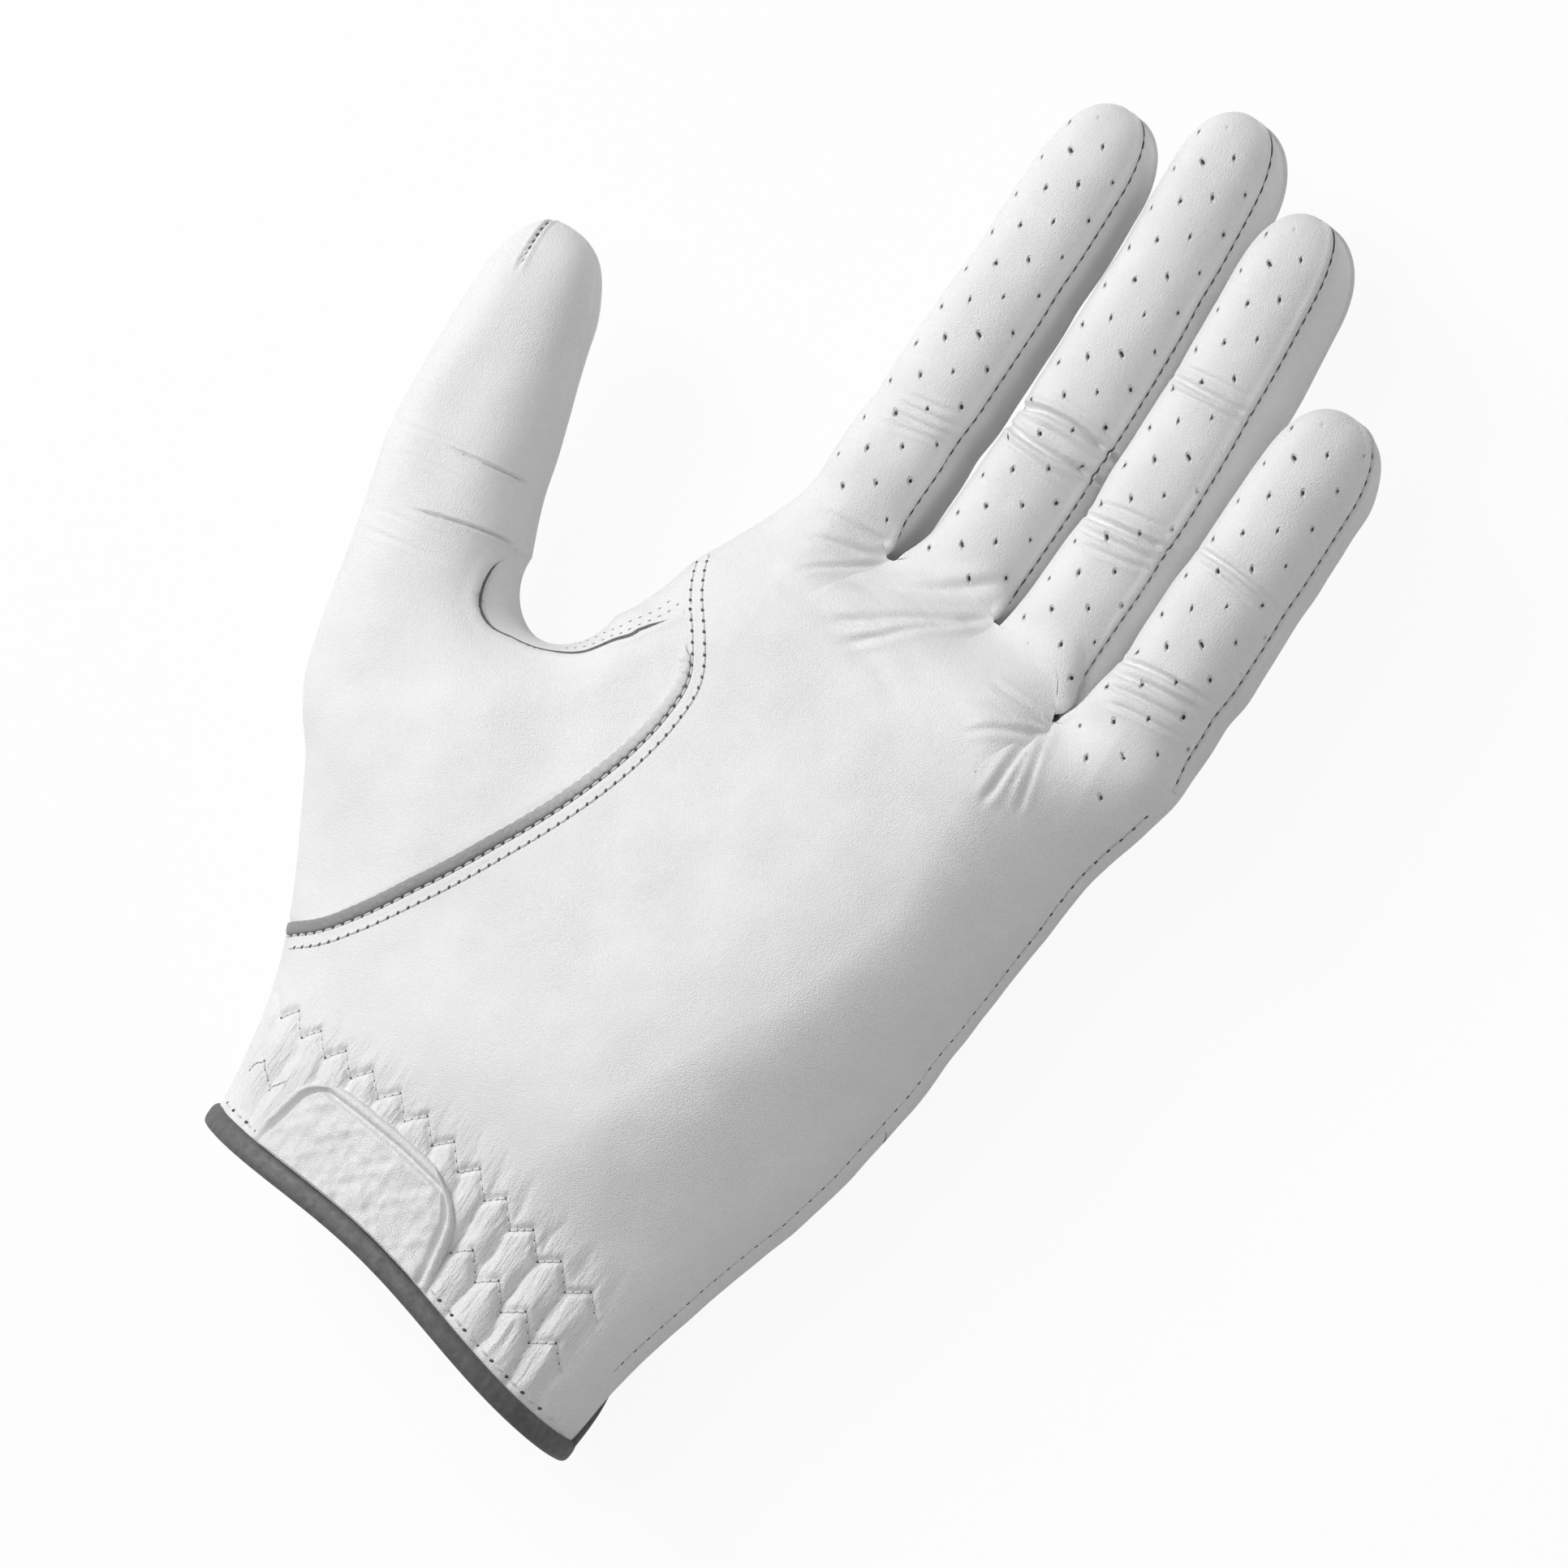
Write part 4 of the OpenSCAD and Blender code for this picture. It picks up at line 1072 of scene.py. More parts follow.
def leather(name, light, dark, grain=1.0, holes=False, rough=0.5):
    """Thin dyed leather between two greys: grain with painted shade in its crevices, fine wrinkles,
    uneven tone and a soft sheen; holes, where asked for, are painted dark as their shade.
    """
    material, tree, shader = tree_of(name)
    coords = object_coords(tree)
    tone = ramp(tree, noise(tree, coords, TONE_SCALE, 5.0, 0.6), 0.35, 0.65, 0.0, 1.0)
    colour = blend_colour(tree, tone, grey(dark), grey(light))
    pores = node(tree, "ShaderNodeTexVoronoi", feature="SMOOTH_F1")
    feed(tree, pores, {"Scale": PORE_SCALE, "Smoothness": 0.35, "Vector": coords})
    pebble = ramp(tree, pores.outputs["Distance"], 0.0, 0.75, 1.0, 0.0)
    fine = noise(tree, coords, FINE_SCALE, 2.0, 0.5)
    broad = noise(tree, coords, BROAD_SCALE, 4.0, 0.55)
    height = math_node(tree, "MULTIPLY_ADD", fine, 0.35, pebble)
    strength_map = ramp(tree, noise(tree, coords, PATCHY_SCALE, 3.0, 0.5), 0.3, 0.7, 0.55, 1.0)
    height = math_node(tree, "MULTIPLY", height, strength_map)
    height = math_node(tree, "MULTIPLY_ADD", broad, 0.7, height)
    normal = bump(tree, height, GRAIN_DEPTH * grain, 1.0)
    normal = wrinkle_bump(tree, coords, normal)
    # painted shade: the grain's crevices between its pebbles are darkened in the colour
    crease = ramp(tree, pores.outputs["Distance"], 0.45, 0.8, 0.0, 0.16)
    colour = blend_colour(tree, crease, colour, grey(dark * 0.7))
    roughness = ramp(tree, broad, 0.3, 0.7, rough - 0.06, rough + 0.08)
    if holes:
        reach, allowed = hole_mask(tree)
        # painted shade: the air holes are not cut; their cores are painted near black as the shade
        # inside them, with a bumped dent round each
        hole_shade = math_node(tree, "MULTIPLY", ramp(tree, reach, 0.75, 1.15, 1.0, 0.0), allowed)
        dent = math_node(tree, "MULTIPLY", ramp(tree, reach, 0.6, 2.1, 1.0, 0.0), allowed)
        colour = blend_colour(tree, hole_shade, colour, grey(0.025))
        depth = math_node(tree, "MULTIPLY", dent, -1.0)
        normal = bump(tree, depth, HOLE_DEPTH, 1.0, normal)
    feed(tree, shader, {"Base Color": colour, "Roughness": roughness, "Normal": normal,
                        "Sheen Weight": 0.08, "Sheen Roughness": 0.4, "Specular IOR Level": 0.4})
    return material


PALM_LEATHER = leather("palm leather", 0.86, 0.82, holes=True)
BACK_LEATHER = leather("back leather", 0.85, 0.81)
SIDE_LEATHER = leather("side leather", 0.87, 0.83, 0.8)

# leather pieces

palm, palm_grid = hand_panel("palm_leather", 1.0, False, PALM_LEATHER, little_holes)
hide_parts("palm_panel")
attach(palm, "hand")
back = hand_panel("back_leather", -1.0, True, BACK_LEATHER, no_holes)[0]
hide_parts("back_panel")
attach(back, "hand")

KINDS = {
    0: ("palm", "back", "outer"),
    1: ("palm", "back", "inner", "outer"),
    2: ("palm", "back", "inner", "outer"),
    3: ("palm", "back", "inner"),
}
FINISH = {"palm": PALM_LEATHER, "back": BACK_LEATHER, "inner": SIDE_LEATHER, "outer": SIDE_LEATHER}
for number, kinds in KINDS.items():
    for kind in kinds:
        sleeve(number, "base", kind, FINISH[kind])
        sleeve(number, "end", kind, FINISH[kind])

# bottom of each gap between two fingers: a saddle hung between the roots of their side strips
SADDLE_DEPTH = 1.4
SADDLE_OPEN = 12.0


def saddle(i):
    """Surface between two side strips, sunk in the middle by an ellipse, most at the palm side."""
    part = np.linspace(0.0, 1.0, 40)[:, None]
    near_turn = mix(-SEAM_TURN, OUT_TURN[i], part)
    far_turn = np.pi + mix(SEAM_TURN, -SEAM_TURN, part)
    near_y = lobe_top(finger_lobe(i, near_turn))
    far_y = lobe_top(finger_lobe(i + 1, far_turn))
    near = finger_surface(i, near_turn, near_y)
    far = finger_surface(i + 1, far_turn, far_y)
    share = np.linspace(0.0, 1.0, 24)[None, :]
    p = mix(near, far, share[..., None])
    deep = mix(SADDLE_DEPTH, SADDLE_OPEN, smooth(0.55, 1.0, part))
    p[..., 1] = p[..., 1] - deep * np.sqrt(np.maximum(0.0, 1.0 - (2.0 * share - 1.0) ** 2))
    name = NAMES[i] + "_" + NAMES[i + 1] + "_saddle"
    layers = cloth(p, arc(p), p[..., 1], 0.0 * p[..., 0])
    return mesh_object(name, p, cells(*p.shape[:2]), SIDE_LEATHER, layers)


for number in (0, 1, 2):
    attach(saddle(number), "hand")

# rows of the thumb's base lie close at the bottom of the web, where its edge turns sharply
WEB_NEAR = 1.2
low_rows = np.linspace(SEAM_LOW_Y + 0.1, WEB_Y - WEB_NEAR, 210, endpoint=False)
near_rows = WEB_Y - WEB_NEAR * np.linspace(1.0, 0.0, 14, endpoint=False) ** 2
high_rows = WEB_Y + (THUMB_SPLIT_Y - WEB_Y) * np.linspace(0.0, 1.0, 100) ** 1.6
rows = np.concatenate([low_rows, near_rows, high_rows])[:, None]
thumb_low = thumb_sleeve("thumb_base_leather", "thumb_base", rows)
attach(thumb_low, "hand")
rows = tip_rows(THUMB_SPLIT_Y, THUMB_TIP_Y, 0.3, 230)
thumb_high = thumb_sleeve("thumb_end_leather", "thumb_end", rows)
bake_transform(thumb_high)

u = np.linspace(0.0, 1.0, 150)[:, None]
fan = np.linspace(-1.0, 1.0, 261)[None, :]
p = gusset_surface(u + 0.0 * fan, fan + 0.0 * u)
n = plan_normals(p[..., 0], p[..., 1], np.where(fan <= 0.0, 1.0, -1.0) + 0.0 * u)
q = raised(p, n, relief_at(p, n))
gusset = mesh_object("web_gusset_leather", q, cells(*p.shape[:2], flip=True), PALM_LEATHER,
                     cloth(p, arc(p), p[..., 1], 0.0 * p[..., 0]))
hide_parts("web_gusset")
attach(gusset, "hand")


# trims: profiles carried along lines on the leather


def on_hand(x, y, side, lift=0.0):
    """Point of the leather with its relief, raised by lift along the normal, and that normal."""
    x = np.asarray(x, float)
    y = np.asarray(y, float) + 0.0 * x
    n = plan_normals(x, y, side + 0.0 * x)
    base = hand_base(x, y, side)
    return raised(base, n, relief_at(base, n) + lift), n


def even(line, pitch, first=0.0):
    """Points of a line in the plan taken at an even pitch along it."""
    step = np.linalg.norm(np.diff(line, axis=0), axis=-1)
    s = np.concatenate([[0.0], np.cumsum(step)])
    at = np.arange(first, s[-1], pitch)
    return np.stack([np.interp(at, s, line[:, k]) for k in range(line.shape[1])], axis=-1)


def directions(path):
    """Unit directions along a path."""
    return unit(np.gradient(path, axis=0))


def close_ends(rings):
    """Rings with the middle of the first and of the last added as points that close the ends."""
    first = np.repeat(rings[:1].mean(axis=1, keepdims=True), rings.shape[1], axis=1)
    last = np.repeat(rings[-1:].mean(axis=1, keepdims=True), rings.shape[1], axis=1)
    return np.concatenate([first, rings, last], axis=0)


def sweep(path, out, section, swell=None):
    """A closed section of (across, out) points carried along a path and closed at both ends."""
    along = directions(path)
    across = unit(np.cross(along, out))
    out = unit(np.cross(across, along))
    grow = np.ones(len(path)) if swell is None else swell
    a = section[None, :, 0, None] * grow[:, None, None]
    b = section[None, :, 1, None] * grow[:, None, None]
    return close_ends(path[:, None, :] + a * across[:, None, :] + b * out[:, None, :])


def ellipse(half_across, half_out, count, squareness=2.0):
    """Closed oval section."""
    t = np.linspace(0.0, 2.0 * np.pi, count, endpoint=False)
    k = 2.0 / squareness
    c = signed_power(np.cos(t), k)
    s = signed_power(np.sin(t), k)
    return np.stack([half_across * c, half_out * s], axis=-1)


def swept_object(name, rings, material, layers=None):
    """A swept piece as an object."""
    faces = cells(rings.shape[0], rings.shape[1], close=True, flip=True)
    return mesh_object(name, rings, faces, material, layers)


BEAD_AROUND = 6
BEAD_RINGS = 5


def bead_points(centres, along, out, size):
    """Small ovals, one per centre: half lengths along the line, across it and out of it."""
    along = unit(along)
    across = unit(np.cross(along, out))
    out = unit(np.cross(across, along))
    polar = np.linspace(0.0, np.pi, BEAD_RINGS)[:, None]
    turn = np.linspace(0.0, 2.0 * np.pi, BEAD_AROUND, endpoint=False)[None, :]
    a = (size[0] * np.cos(polar) + 0.0 * turn).ravel()[None, :, None]
    b = (size[1] * np.sin(polar) * np.cos(turn)).ravel()[None, :, None]
    c = (size[2] * np.sin(polar) * np.sin(turn)).ravel()[None, :, None]
    return (centres[:, None, :] + a * along[:, None, :] + b * across[:, None, :]
            + c * out[:, None, :])


def beads(name, centres, along, out, size, material):
    """One object of many small ovals, such as a row of stitches or of needle holes."""
    p = bead_points(centres, along, out, size)
    one = cells(BEAD_RINGS, BEAD_AROUND, close=True)
    start = np.arange(len(centres))[:, None, None] * p.shape[1]
    return mesh_object(name, p, (one[None] + start).reshape(-1, 4), material)


def plain(name, light, dark, scale, rough, depth, fibre=None, sheen=0.0):
    """Thread, tape, pile or a dark painted shade between two greys: an uneven tone and a bump of
    its own scale.
    """
    material, tree, shader = tree_of(name)
    coords = object_coords(tree)
    if fibre is not None:
        coords = stretched(tree, coords, fibre)
    grain = noise(tree, coords, scale, 4.0, 0.6)
    tone = ramp(tree, grain, 0.3, 0.7, 0.0, 1.0)
    colour = blend_colour(tree, tone, grey(dark), grey(light))
    roughness = ramp(tree, grain, 0.3, 0.7, rough + 0.08, rough - 0.08)
    feed(tree, shader, {"Base Color": colour, "Roughness": roughness,
                        "Normal": bump(tree, grain, depth, 0.9), "Sheen Weight": sheen})
    return material


THREAD = plain("white thread", 0.84, 0.66, 2600.0, 0.6, 0.0001)
# painted shade: needle holes and the thin dark lines of the seams are dark ovals standing for the
# shade in holes and grooves
NEEDLE_HOLE_SHADE = plain("needle hole", 0.14, 0.05, 1500.0, 0.8, 0.0001)
BINDING = plain("grey binding", 0.135, 0.095, 900.0, 0.55, 0.00012)
WEBBING = plain("woven elastic", 0.78, 0.62, 1200.0, 0.8, 0.0002, (1.0, 0.25, 1.0))
# painted shadow: dark colour for the sweep that stands for the shade under the web's lip
WEB_SHADOW_PAINT = plain("painted web shadow", 0.17, 0.10, 1500.0, 0.8, 0.0001)
LOOP_PILE = plain("loop pile", 0.80, 0.62, 1900.0, 0.9, 0.0006, None, 0.3)
HOOK_PILE = plain("hook pile", 0.80, 0.60, 1500.0, 0.6, 0.0005)
PATCH_LEATHER = leather("patch leather", 0.84, 0.76, 1.3, False, 0.3)


def piping_leather():
    """Piping: grey at its lower end, fading to white where it is gathered at the top."""
    material, tree, shader = tree_of("piping leather")
    coords = object_coords(tree)
    layer = node(tree, "ShaderNodeAttribute", attribute_name="fade")
    grain = noise(tree, coords, 1400.0, 4.0, 0.6)
    amount = math_node(tree, "MULTIPLY_ADD", math_node(tree, "SUBTRACT", grain, 0.5), 0.35,
                       layer.outputs["Fac"])
    tone = ramp(tree, amount, 0.0, 1.0, 0.0, 1.0)
    feed(tree, shader, {"Base Color": blend_colour(tree, tone, grey(0.27), grey(0.82)),
                        "Roughness": ramp(tree, grain, 0.3, 0.7, 0.4, 0.55),
                        "Normal": bump(tree, grain, 0.0002, 1.0)})
    return material


PIPING_LEATHER = piping_leather()

# half sizes of stitches and needle holes: along their row, across it and out of it
ROW_THREAD = (0.72, 0.20, 0.17)
ROW_HOLE = (0.38, 0.26, 0.13)
WEB_HOLE = (0.30, 0.08, 0.06)
ZIG_THREAD = (0.62, 0.17, 0.15)
ZIG_HOLE = (0.15, 0.12, 0.10)
CORNER_HOLE = (0.26, 0.18, 0.14)
RIM_THREAD = (0.80, 0.20, 0.13)
OUTER_HOLE = (0.42, 0.20, 0.14)
FINGER_THREAD = (0.50, 0.15, 0.13)
FINGER_HOLE = (0.50, 0.09, 0.11)
DART_HOLE = (0.40, 0.20, 0.16)
# how high a row's thread lies on the leather, and how much lower its needle holes are
ROW_LIFT = 0.06
HOLE_DROP = 0.05


def stitch_row(name, line, pitch):
    """A sewn row on the palm side: a thread stitch and a slanted needle hole, a dark oval of
    painted shade, at every pitch.
    """
    path = even(line, pitch)
    p, n = on_hand(path[:, 0], path[:, 1], 1.0, ROW_LIFT)
    stitches = beads(name + "_thread", p, directions(p), n, ROW_THREAD, THREAD)
    half = even(line, pitch, pitch / 2)
    h, m = on_hand(half[:, 0], half[:, 1], 1.0, ROW_LIFT - HOLE_DROP)
    slant = unit(directions(h) + 0.45 * np.cross(m, directions(h)))
    pricks = beads(name + "_holes", h, slant, m, ROW_HOLE, NEEDLE_HOLE_SHADE)
    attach(stitches, "hand")
    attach(pricks, "hand")


def thenar_line(shift, low, high, count=400):
    """A line in the plan that keeps a distance from the thenar seam, towards the palm."""
    y = np.linspace(low, high, count)
    x = spline(THENAR_SEAM, y)
    way = directions(np.stack([x, y], axis=-1))
    return np.stack([x + shift * way[:, 1], y - shift * way[:, 0]], axis=-1)


# piping with its two sewn rows
PIPE_HALF = 0.88
PIPE_RISE = 0.34
PIPE_LIFT = 0.22
PIPE_TOP_Y = 8.4
PITCH = 1.7
pipe_line = thenar_line(0.0, SEAM_LOW_Y + 0.8, PIPE_TOP_Y, 900)
p, n = on_hand(pipe_line[:, 0], pipe_line[:, 1], 1.0, PIPE_LIFT)
run = np.concatenate([[0.0], np.cumsum(np.linalg.norm(np.diff(p, axis=0), axis=-1))])
share = run / run[-1]
gather = (0.1 + 0.24 * smooth(0.4, 0.8, share)) * np.abs(np.sin(np.pi * run / PITCH)) ** 0.6
swell = (1.0 - 0.28 * smooth(0.4, 0.8, share) + gather) * smooth(0.0, 0.01, share)
swell = swell * smooth(1.0, 0.97, share)
rings = sweep(p, n, ellipse(PIPE_HALF, PIPE_RISE, 20, 2.6), np.maximum(swell, 0.05))
fade = np.concatenate([[0.0], 0.92 * smooth(0.42, 1.0, share), [1.0]])
layer = {"fade": np.repeat(fade, rings.shape[1])}
piping = swept_object("thumb_piping_roll", rings, PIPING_LEATHER, layer)
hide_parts("thumb_piping")
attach(piping, "hand")
stitch_row("thenar_first_row", thenar_line(1.1, -59.0, 18.6), PITCH)
stitch_row("thenar_second_row", thenar_line(3.05, -58.4, 18.9), PITCH)

# strip of the back beside the slit: how far it slips under the back's edge, and how much it sinks
STRIP_UNDER = 0.5
STRIP_DROP = 0.14


def past_slit(y):
    """0 along the slit, 1 past its top."""
    return smooth(SLIT_TOP_Y - 8.0, SLIT_TOP_Y, y)


def strip_edge(y):
    """The strip's edge at the slit, which slips under the back's edge at the slit's top."""
    return mix(slit_line(y), slit_side(y) - STRIP_UNDER, past_slit(y))


y = np.linspace(0.0, 1.0, 110)[:, None]
y = mix(CUFF_OUTER_Y, SLIT_TOP_Y + SLIT_CLOSE + 0.4, y)
part = np.sin(np.pi / 2 * np.linspace(0.0, 1.0, 40))[None, :]
low = strip_edge(y)
x = mix(low, spline(OUTER_EDGE, y), part)
y = np.maximum(y + 0.0 * x, cuff_y(x))
p = hand_base(x, y, -1.0)
n = grid_normals(p, -1.0)
q = raised(p, n, relief_at(p, n))
tucked = STRIP_DROP * past_slit(y) * smooth(2.5 * STRIP_UNDER, STRIP_UNDER, x - low)
q = q - tucked[..., None] * plan_normals(x, y, -1.0 + 0.0 * y)
strip = mesh_object("back_strip_leather", q, cells(*x.shape, flip=True), BACK_LEATHER,
                    cloth(p, arc(p), y, 0.0 * y))
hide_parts("back_strip")
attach(strip, "hand")

# cuff binding: a folded tape over the cuff's edge, from the slit round the palm to the slit
BIND_UP = 2.7
BIND_DOWN = 0.8
FOLD_DEPTH = 1.05
FOLD_POWER = 0.75
UP_HAND = np.array([0.0, 1.0, 0.0])


def cuff_path(count):
    """The cuff's edge from the slit's outer side over the palm and the thumb side to the slit."""
    outer = float(spline(OUTER_EDGE, CUFF_OUTER_Y))
    inner = float(spline(INNER_EDGE, CUFF_INNER_Y))
    start = float(slit_line(CUFF_OUTER_Y))
    stop = start - SLIT_WIDTH
    strip_part = mix(start, outer, np.sin(np.pi / 2 * np.linspace(0.0, 1.0, 12, endpoint=False)))
    t = np.linspace(0.0, 1.0, count, endpoint=False)
    palm_part = mix(outer, inner, (1.0 - np.cos(np.pi * t)) / 2)
    back_part = mix(inner, stop, 1.0 - np.cos(np.pi / 2 * np.linspace(0.0, 1.0, count)))
    x = np.concatenate([strip_part, palm_part, back_part])
    side = np.concatenate([-np.ones(12), np.ones(count), -np.ones(count)])
    return x, side


x, side = cuff_path(240)
edge_line = hand_base(x, cuff_y(x), side)
turn = directions(edge_line)
out = unit(np.cross(turn, UP_HAND))
t = np.linspace(0.0, 2.0 * np.pi, 40, endpoint=False)
rise = signed_power(np.sin(t), FOLD_POWER)
thick = signed_power(np.cos(t), FOLD_POWER)
pucker = 0.05 * np.sin(np.arange(len(x)) * 0.9) * np.sin(np.arange(len(x)) * 0.37)
height = (BIND_UP + BIND_DOWN) / 2
a = (height * rise + height - BIND_DOWN)[None, :, None]
b = (FOLD_DEPTH * thick)[None, :, None] + pucker[:, None, None]
rings = edge_line[:, None, :] + a * UP_HAND + b * out[:, None, :]
cuff = swept_object("cuff_binding_tape", close_ends(rings), BINDING)
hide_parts("cuff_binding")
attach(cuff, "hand")

# painted shadow under the lip of the palm's leather along the web: a dark sweep laid in the lip's
# shade
SHADOW_LINE_HALF = 0.46
SHADOW_LINE_RISE = 0.3


def web_path(first, last, off, count):
    """Line in the plan along the web, between two angles, at a distance from the lip's edge."""
    turn = np.radians(np.linspace(first, last, count))
    reach = np.linspace(0.0, 40.0, 1601)
    wx = WEB_X + reach[None, :] * np.cos(turn)[:, None]
    wy = WEB_MID_Y + reach[None, :] * np.sin(turn)[:, None]
    far = spline(WEB_LIP, np.degrees(turn))[:, None] + off
    at = np.argmax(web_way(wx, wy) > far, axis=1)
    row = np.arange(count)
    return np.stack([wx[row, at], wy[row, at]], axis=-1)


path = web_path(196.0, 372.0, -0.12, 360)
p, n = on_hand(path[:, 0], path[:, 1], 1.0, 0.16)
run = np.linspace(0.0, 1.0, len(path))
swell = smooth(0.0, 0.10, run) * smooth(1.0, 0.95, run) * (0.6 + 0.65 * smooth(0.45, 0.85, run))
rings = sweep(p, n, ellipse(SHADOW_LINE_HALF, SHADOW_LINE_RISE, 14), np.maximum(swell, 0.04))
web_shadow_line = swept_object("web_painted_shadow", rings, WEB_SHADOW_PAINT)
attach(web_shadow_line, "hand")

# short stitches along the strip at the web's rim, drawn only as needle holes of painted shade
for name, off in (("web_strip_row", -1.9), ("web_rim_row", -3.6)):
    path = even(web_path(316.0, 380.0, off, 200), 1.6)
    p, n = on_hand(path[:, 0], path[:, 1], 1.0, 0.02)
    pricks = beads(name + "_holes", p, directions(p), n, WEB_HOLE, NEEDLE_HOLE_SHADE)
    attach(pricks, "hand")

# sewn row just above the binding, on the palm
x = np.linspace(30.2, -40.0, 500)
stitch_row("cuff_row", np.stack([x, cuff_y(x) + BIND_UP + 1.1], axis=-1), 2.9)


def zigzag(x_from, x_to, up):
    """A zigzag line in the plan at a height above the cuff."""
    count = int(abs(x_to - x_from) / (ZIG_PITCH / 2)) + 1
    x = x_from + np.sign(x_to - x_from) * ZIG_PITCH / 2 * np.arange(count)
    return np.stack([x, cuff_y(x) + up + ZIG_HALF * zig_line(x)], axis=-1)


def zig_row(name, line):
    """Zigzag thread in short stitches, three to a leg."""
    leg = np.linspace(0.0, 1.0, 3, endpoint=False)[None, :, None]
    p0 = line[:-1, None, :]
    p1 = line[1:, None, :]
    mid = (p0 + (p1 - p0) * (leg + 1.0 / 6.0)).reshape(-1, 2)
    ends = (p0 + (p1 - p0) * leg).reshape(-1, 2)
    way = np.repeat(np.diff(line, axis=0), 3, axis=0)
    c, n = on_hand(mid[:, 0], mid[:, 1], 1.0, 0.08)
    e, m = on_hand(ends[:, 0], ends[:, 1], 1.0, 0.03)
    ahead = mid + 0.05 * way
    along = on_hand(ahead[:, 0], ahead[:, 1], 1.0, 0.08)[0] - c
    thread = beads(name + "_thread", c, along, n, ZIG_THREAD, THREAD)
    # the needle holes and the larger corner holes are dark ovals of painted shade
    at = np.arange(len(e)) % 3 == 0
    pricks = beads(name + "_holes", e[~at], along[~at], m[~at], ZIG_HOLE, NEEDLE_HOLE_SHADE)
    corners = beads(name + "_corners", e[at], along[at], m[at], CORNER_HOLE, NEEDLE_HOLE_SHADE)
    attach(corners, "hand")
    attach(thread, "hand")
    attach(pricks, "hand")


zig_row("upper_smocking", zigzag(-ZIG_PITCH * 7, ZIG_PITCH * 5, ZIG_UP))
zig_row("lower_smocking", zigzag(ZIG_PITCH * 1, ZIG_PITCH * 5, ZIG_UP - ROW_GAP))
zig_row("side_smocking", zigzag(-ZIG_PITCH * 7, -ZIG_PITCH * 5, ZIG_UP - ROW_GAP))

# binding along both edges of the slit, folded over the leather's edge
SLIT_HALF = 1.15
SLIT_TAPE_RISE = 0.85


def slit_tape(x, y, towards):
    """A flat folded tape whose middle runs along one edge of the slit."""
    p, n = on_hand(x + towards * 0.55 * SLIT_HALF, y, -1.0)
    return sweep(p, n, ellipse(SLIT_HALF, SLIT_TAPE_RISE, 24, 3.5))


y = np.linspace(CUFF_OUTER_Y + 1.0, SLIT_TOP_Y - 2.8, 140)
peep = 1.9 * smooth(-80.0, -93.0, y)
outer_rings = slit_tape(strip_edge(y) + peep, y, 1.0)
inner_rings = slit_tape(slit_side(y), y, -1.0)
for name, rings in (("slit_binding_outer", outer_rings), ("slit_binding_inner", inner_rings)):
    tape = swept_object(name, rings, BINDING)
    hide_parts("slit_binding")
    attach(tape, "hand")

# elastic inside the wrist: a ribbed band under the palm's leather
BAND_HALF = 5.0
BAND_RISE = 0.45
BAND_UP = 21.0
BAND_UNDER = 2.4
x = np.linspace(26.0, -37.0, 220)
p = hand_base(x, cuff_y(x) + BAND_UP, 1.0)
p[:, 2] = p[:, 2] - BAND_UNDER
n = np.tile(np.array([0.0, 0.0, 1.0]), (len(x), 1))
ribs = 1.0 + 0.02 * np.sin(2.2 * np.arange(len(x)))
rings = sweep(p, n, ellipse(BAND_HALF, BAND_RISE, 28, 4.0), ribs)
elastic = swept_object("wrist_elastic_band", rings, WEBBING)
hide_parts("wrist_elastic")
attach(elastic, "hand")

# cuff patch: a soft leather trapezoid with a rolled rim, sewn in at the binding
RIM_ROLL = 0.85
u = np.linspace(-1.0, 1.0, 150)[None, :]
v = np.linspace(0.0, 1.0, 90)[:, None]
half = patch_half(v)
x = PATCH_MID - half * u
y = cuff_y(x) + PATCH_UP + PATCH_HIGH * v + 0.0 * u
rim_side = half * (1.0 - np.abs(u))
rim_top = PATCH_HIGH * (1.0 - v)
rim = np.minimum(rim_side, rim_top + 0.0 * u)
roll = np.sqrt(np.maximum(0.0, 1.0 - ((rim - RIM_ROLL) / RIM_ROLL) ** 2))
roll = np.where(rim < 2.0 * RIM_ROLL, roll, 0.0) * mix(0.15, 1.0, smooth(0.0, 0.28, v))
valley = -0.45 * bell(rim - 2.0, 0.45)
soft = 0.55 * smooth(1.5, 3.0, rim) * (1.0 + 0.35 * ripple(x, y, 9.0, 4.0))
dents = 0.34 * ripple(x, y, 5.5, 5.0) + 0.20 * ripple(x, y, 2.8, 6.0)
soft = soft + smooth(1.8, 3.5, rim) * dents
crinkle = 0.08 * ripple(x, y, 1.6, 7.0) * smooth(0.3, 1.0, rim)
base = hand_base(x, y, 1.0)
n = grid_normals(base, -1.0)
lift = palm_form(x, y) + 0.15 + RIM_ROLL * roll + valley
lift = lift + 0.35 * smooth(0.0, 1.2, rim) + soft + crinkle
p = raised(base, n, lift - 0.2 * smooth(0.3, 0.0, rim))
patch = mesh_object("palm_patch_leather", p, cells(*x.shape, flip=True), PATCH_LEATHER)
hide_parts("palm_patch")
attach(patch, "hand")

# closure: a padded leather tab, its hook pad and the loop pad on the back
TAB_MID_Y = -62.0
TAB_ROOT = 3.0
TAB_LENGTH = 47.0
TAB_WIDTH = 26.0
TAB_RISE = 4.7
TAB_ROUND = 0.28
# where the tab leaves its sewn end, and how far it is pressed down there
TAB_SEWN = 3.0
TAB_SINK = 2.4
PAD_START = 20.0
# lower and upper face of each layer above the back, and the height of the tab's sewn rim
TAB_SPAN = (2.9, 4.3)
HOOK_SPAN = (1.6, 2.75)
LOOP_SPAN = (0.1, 1.3)
RIM_UP = 4.22


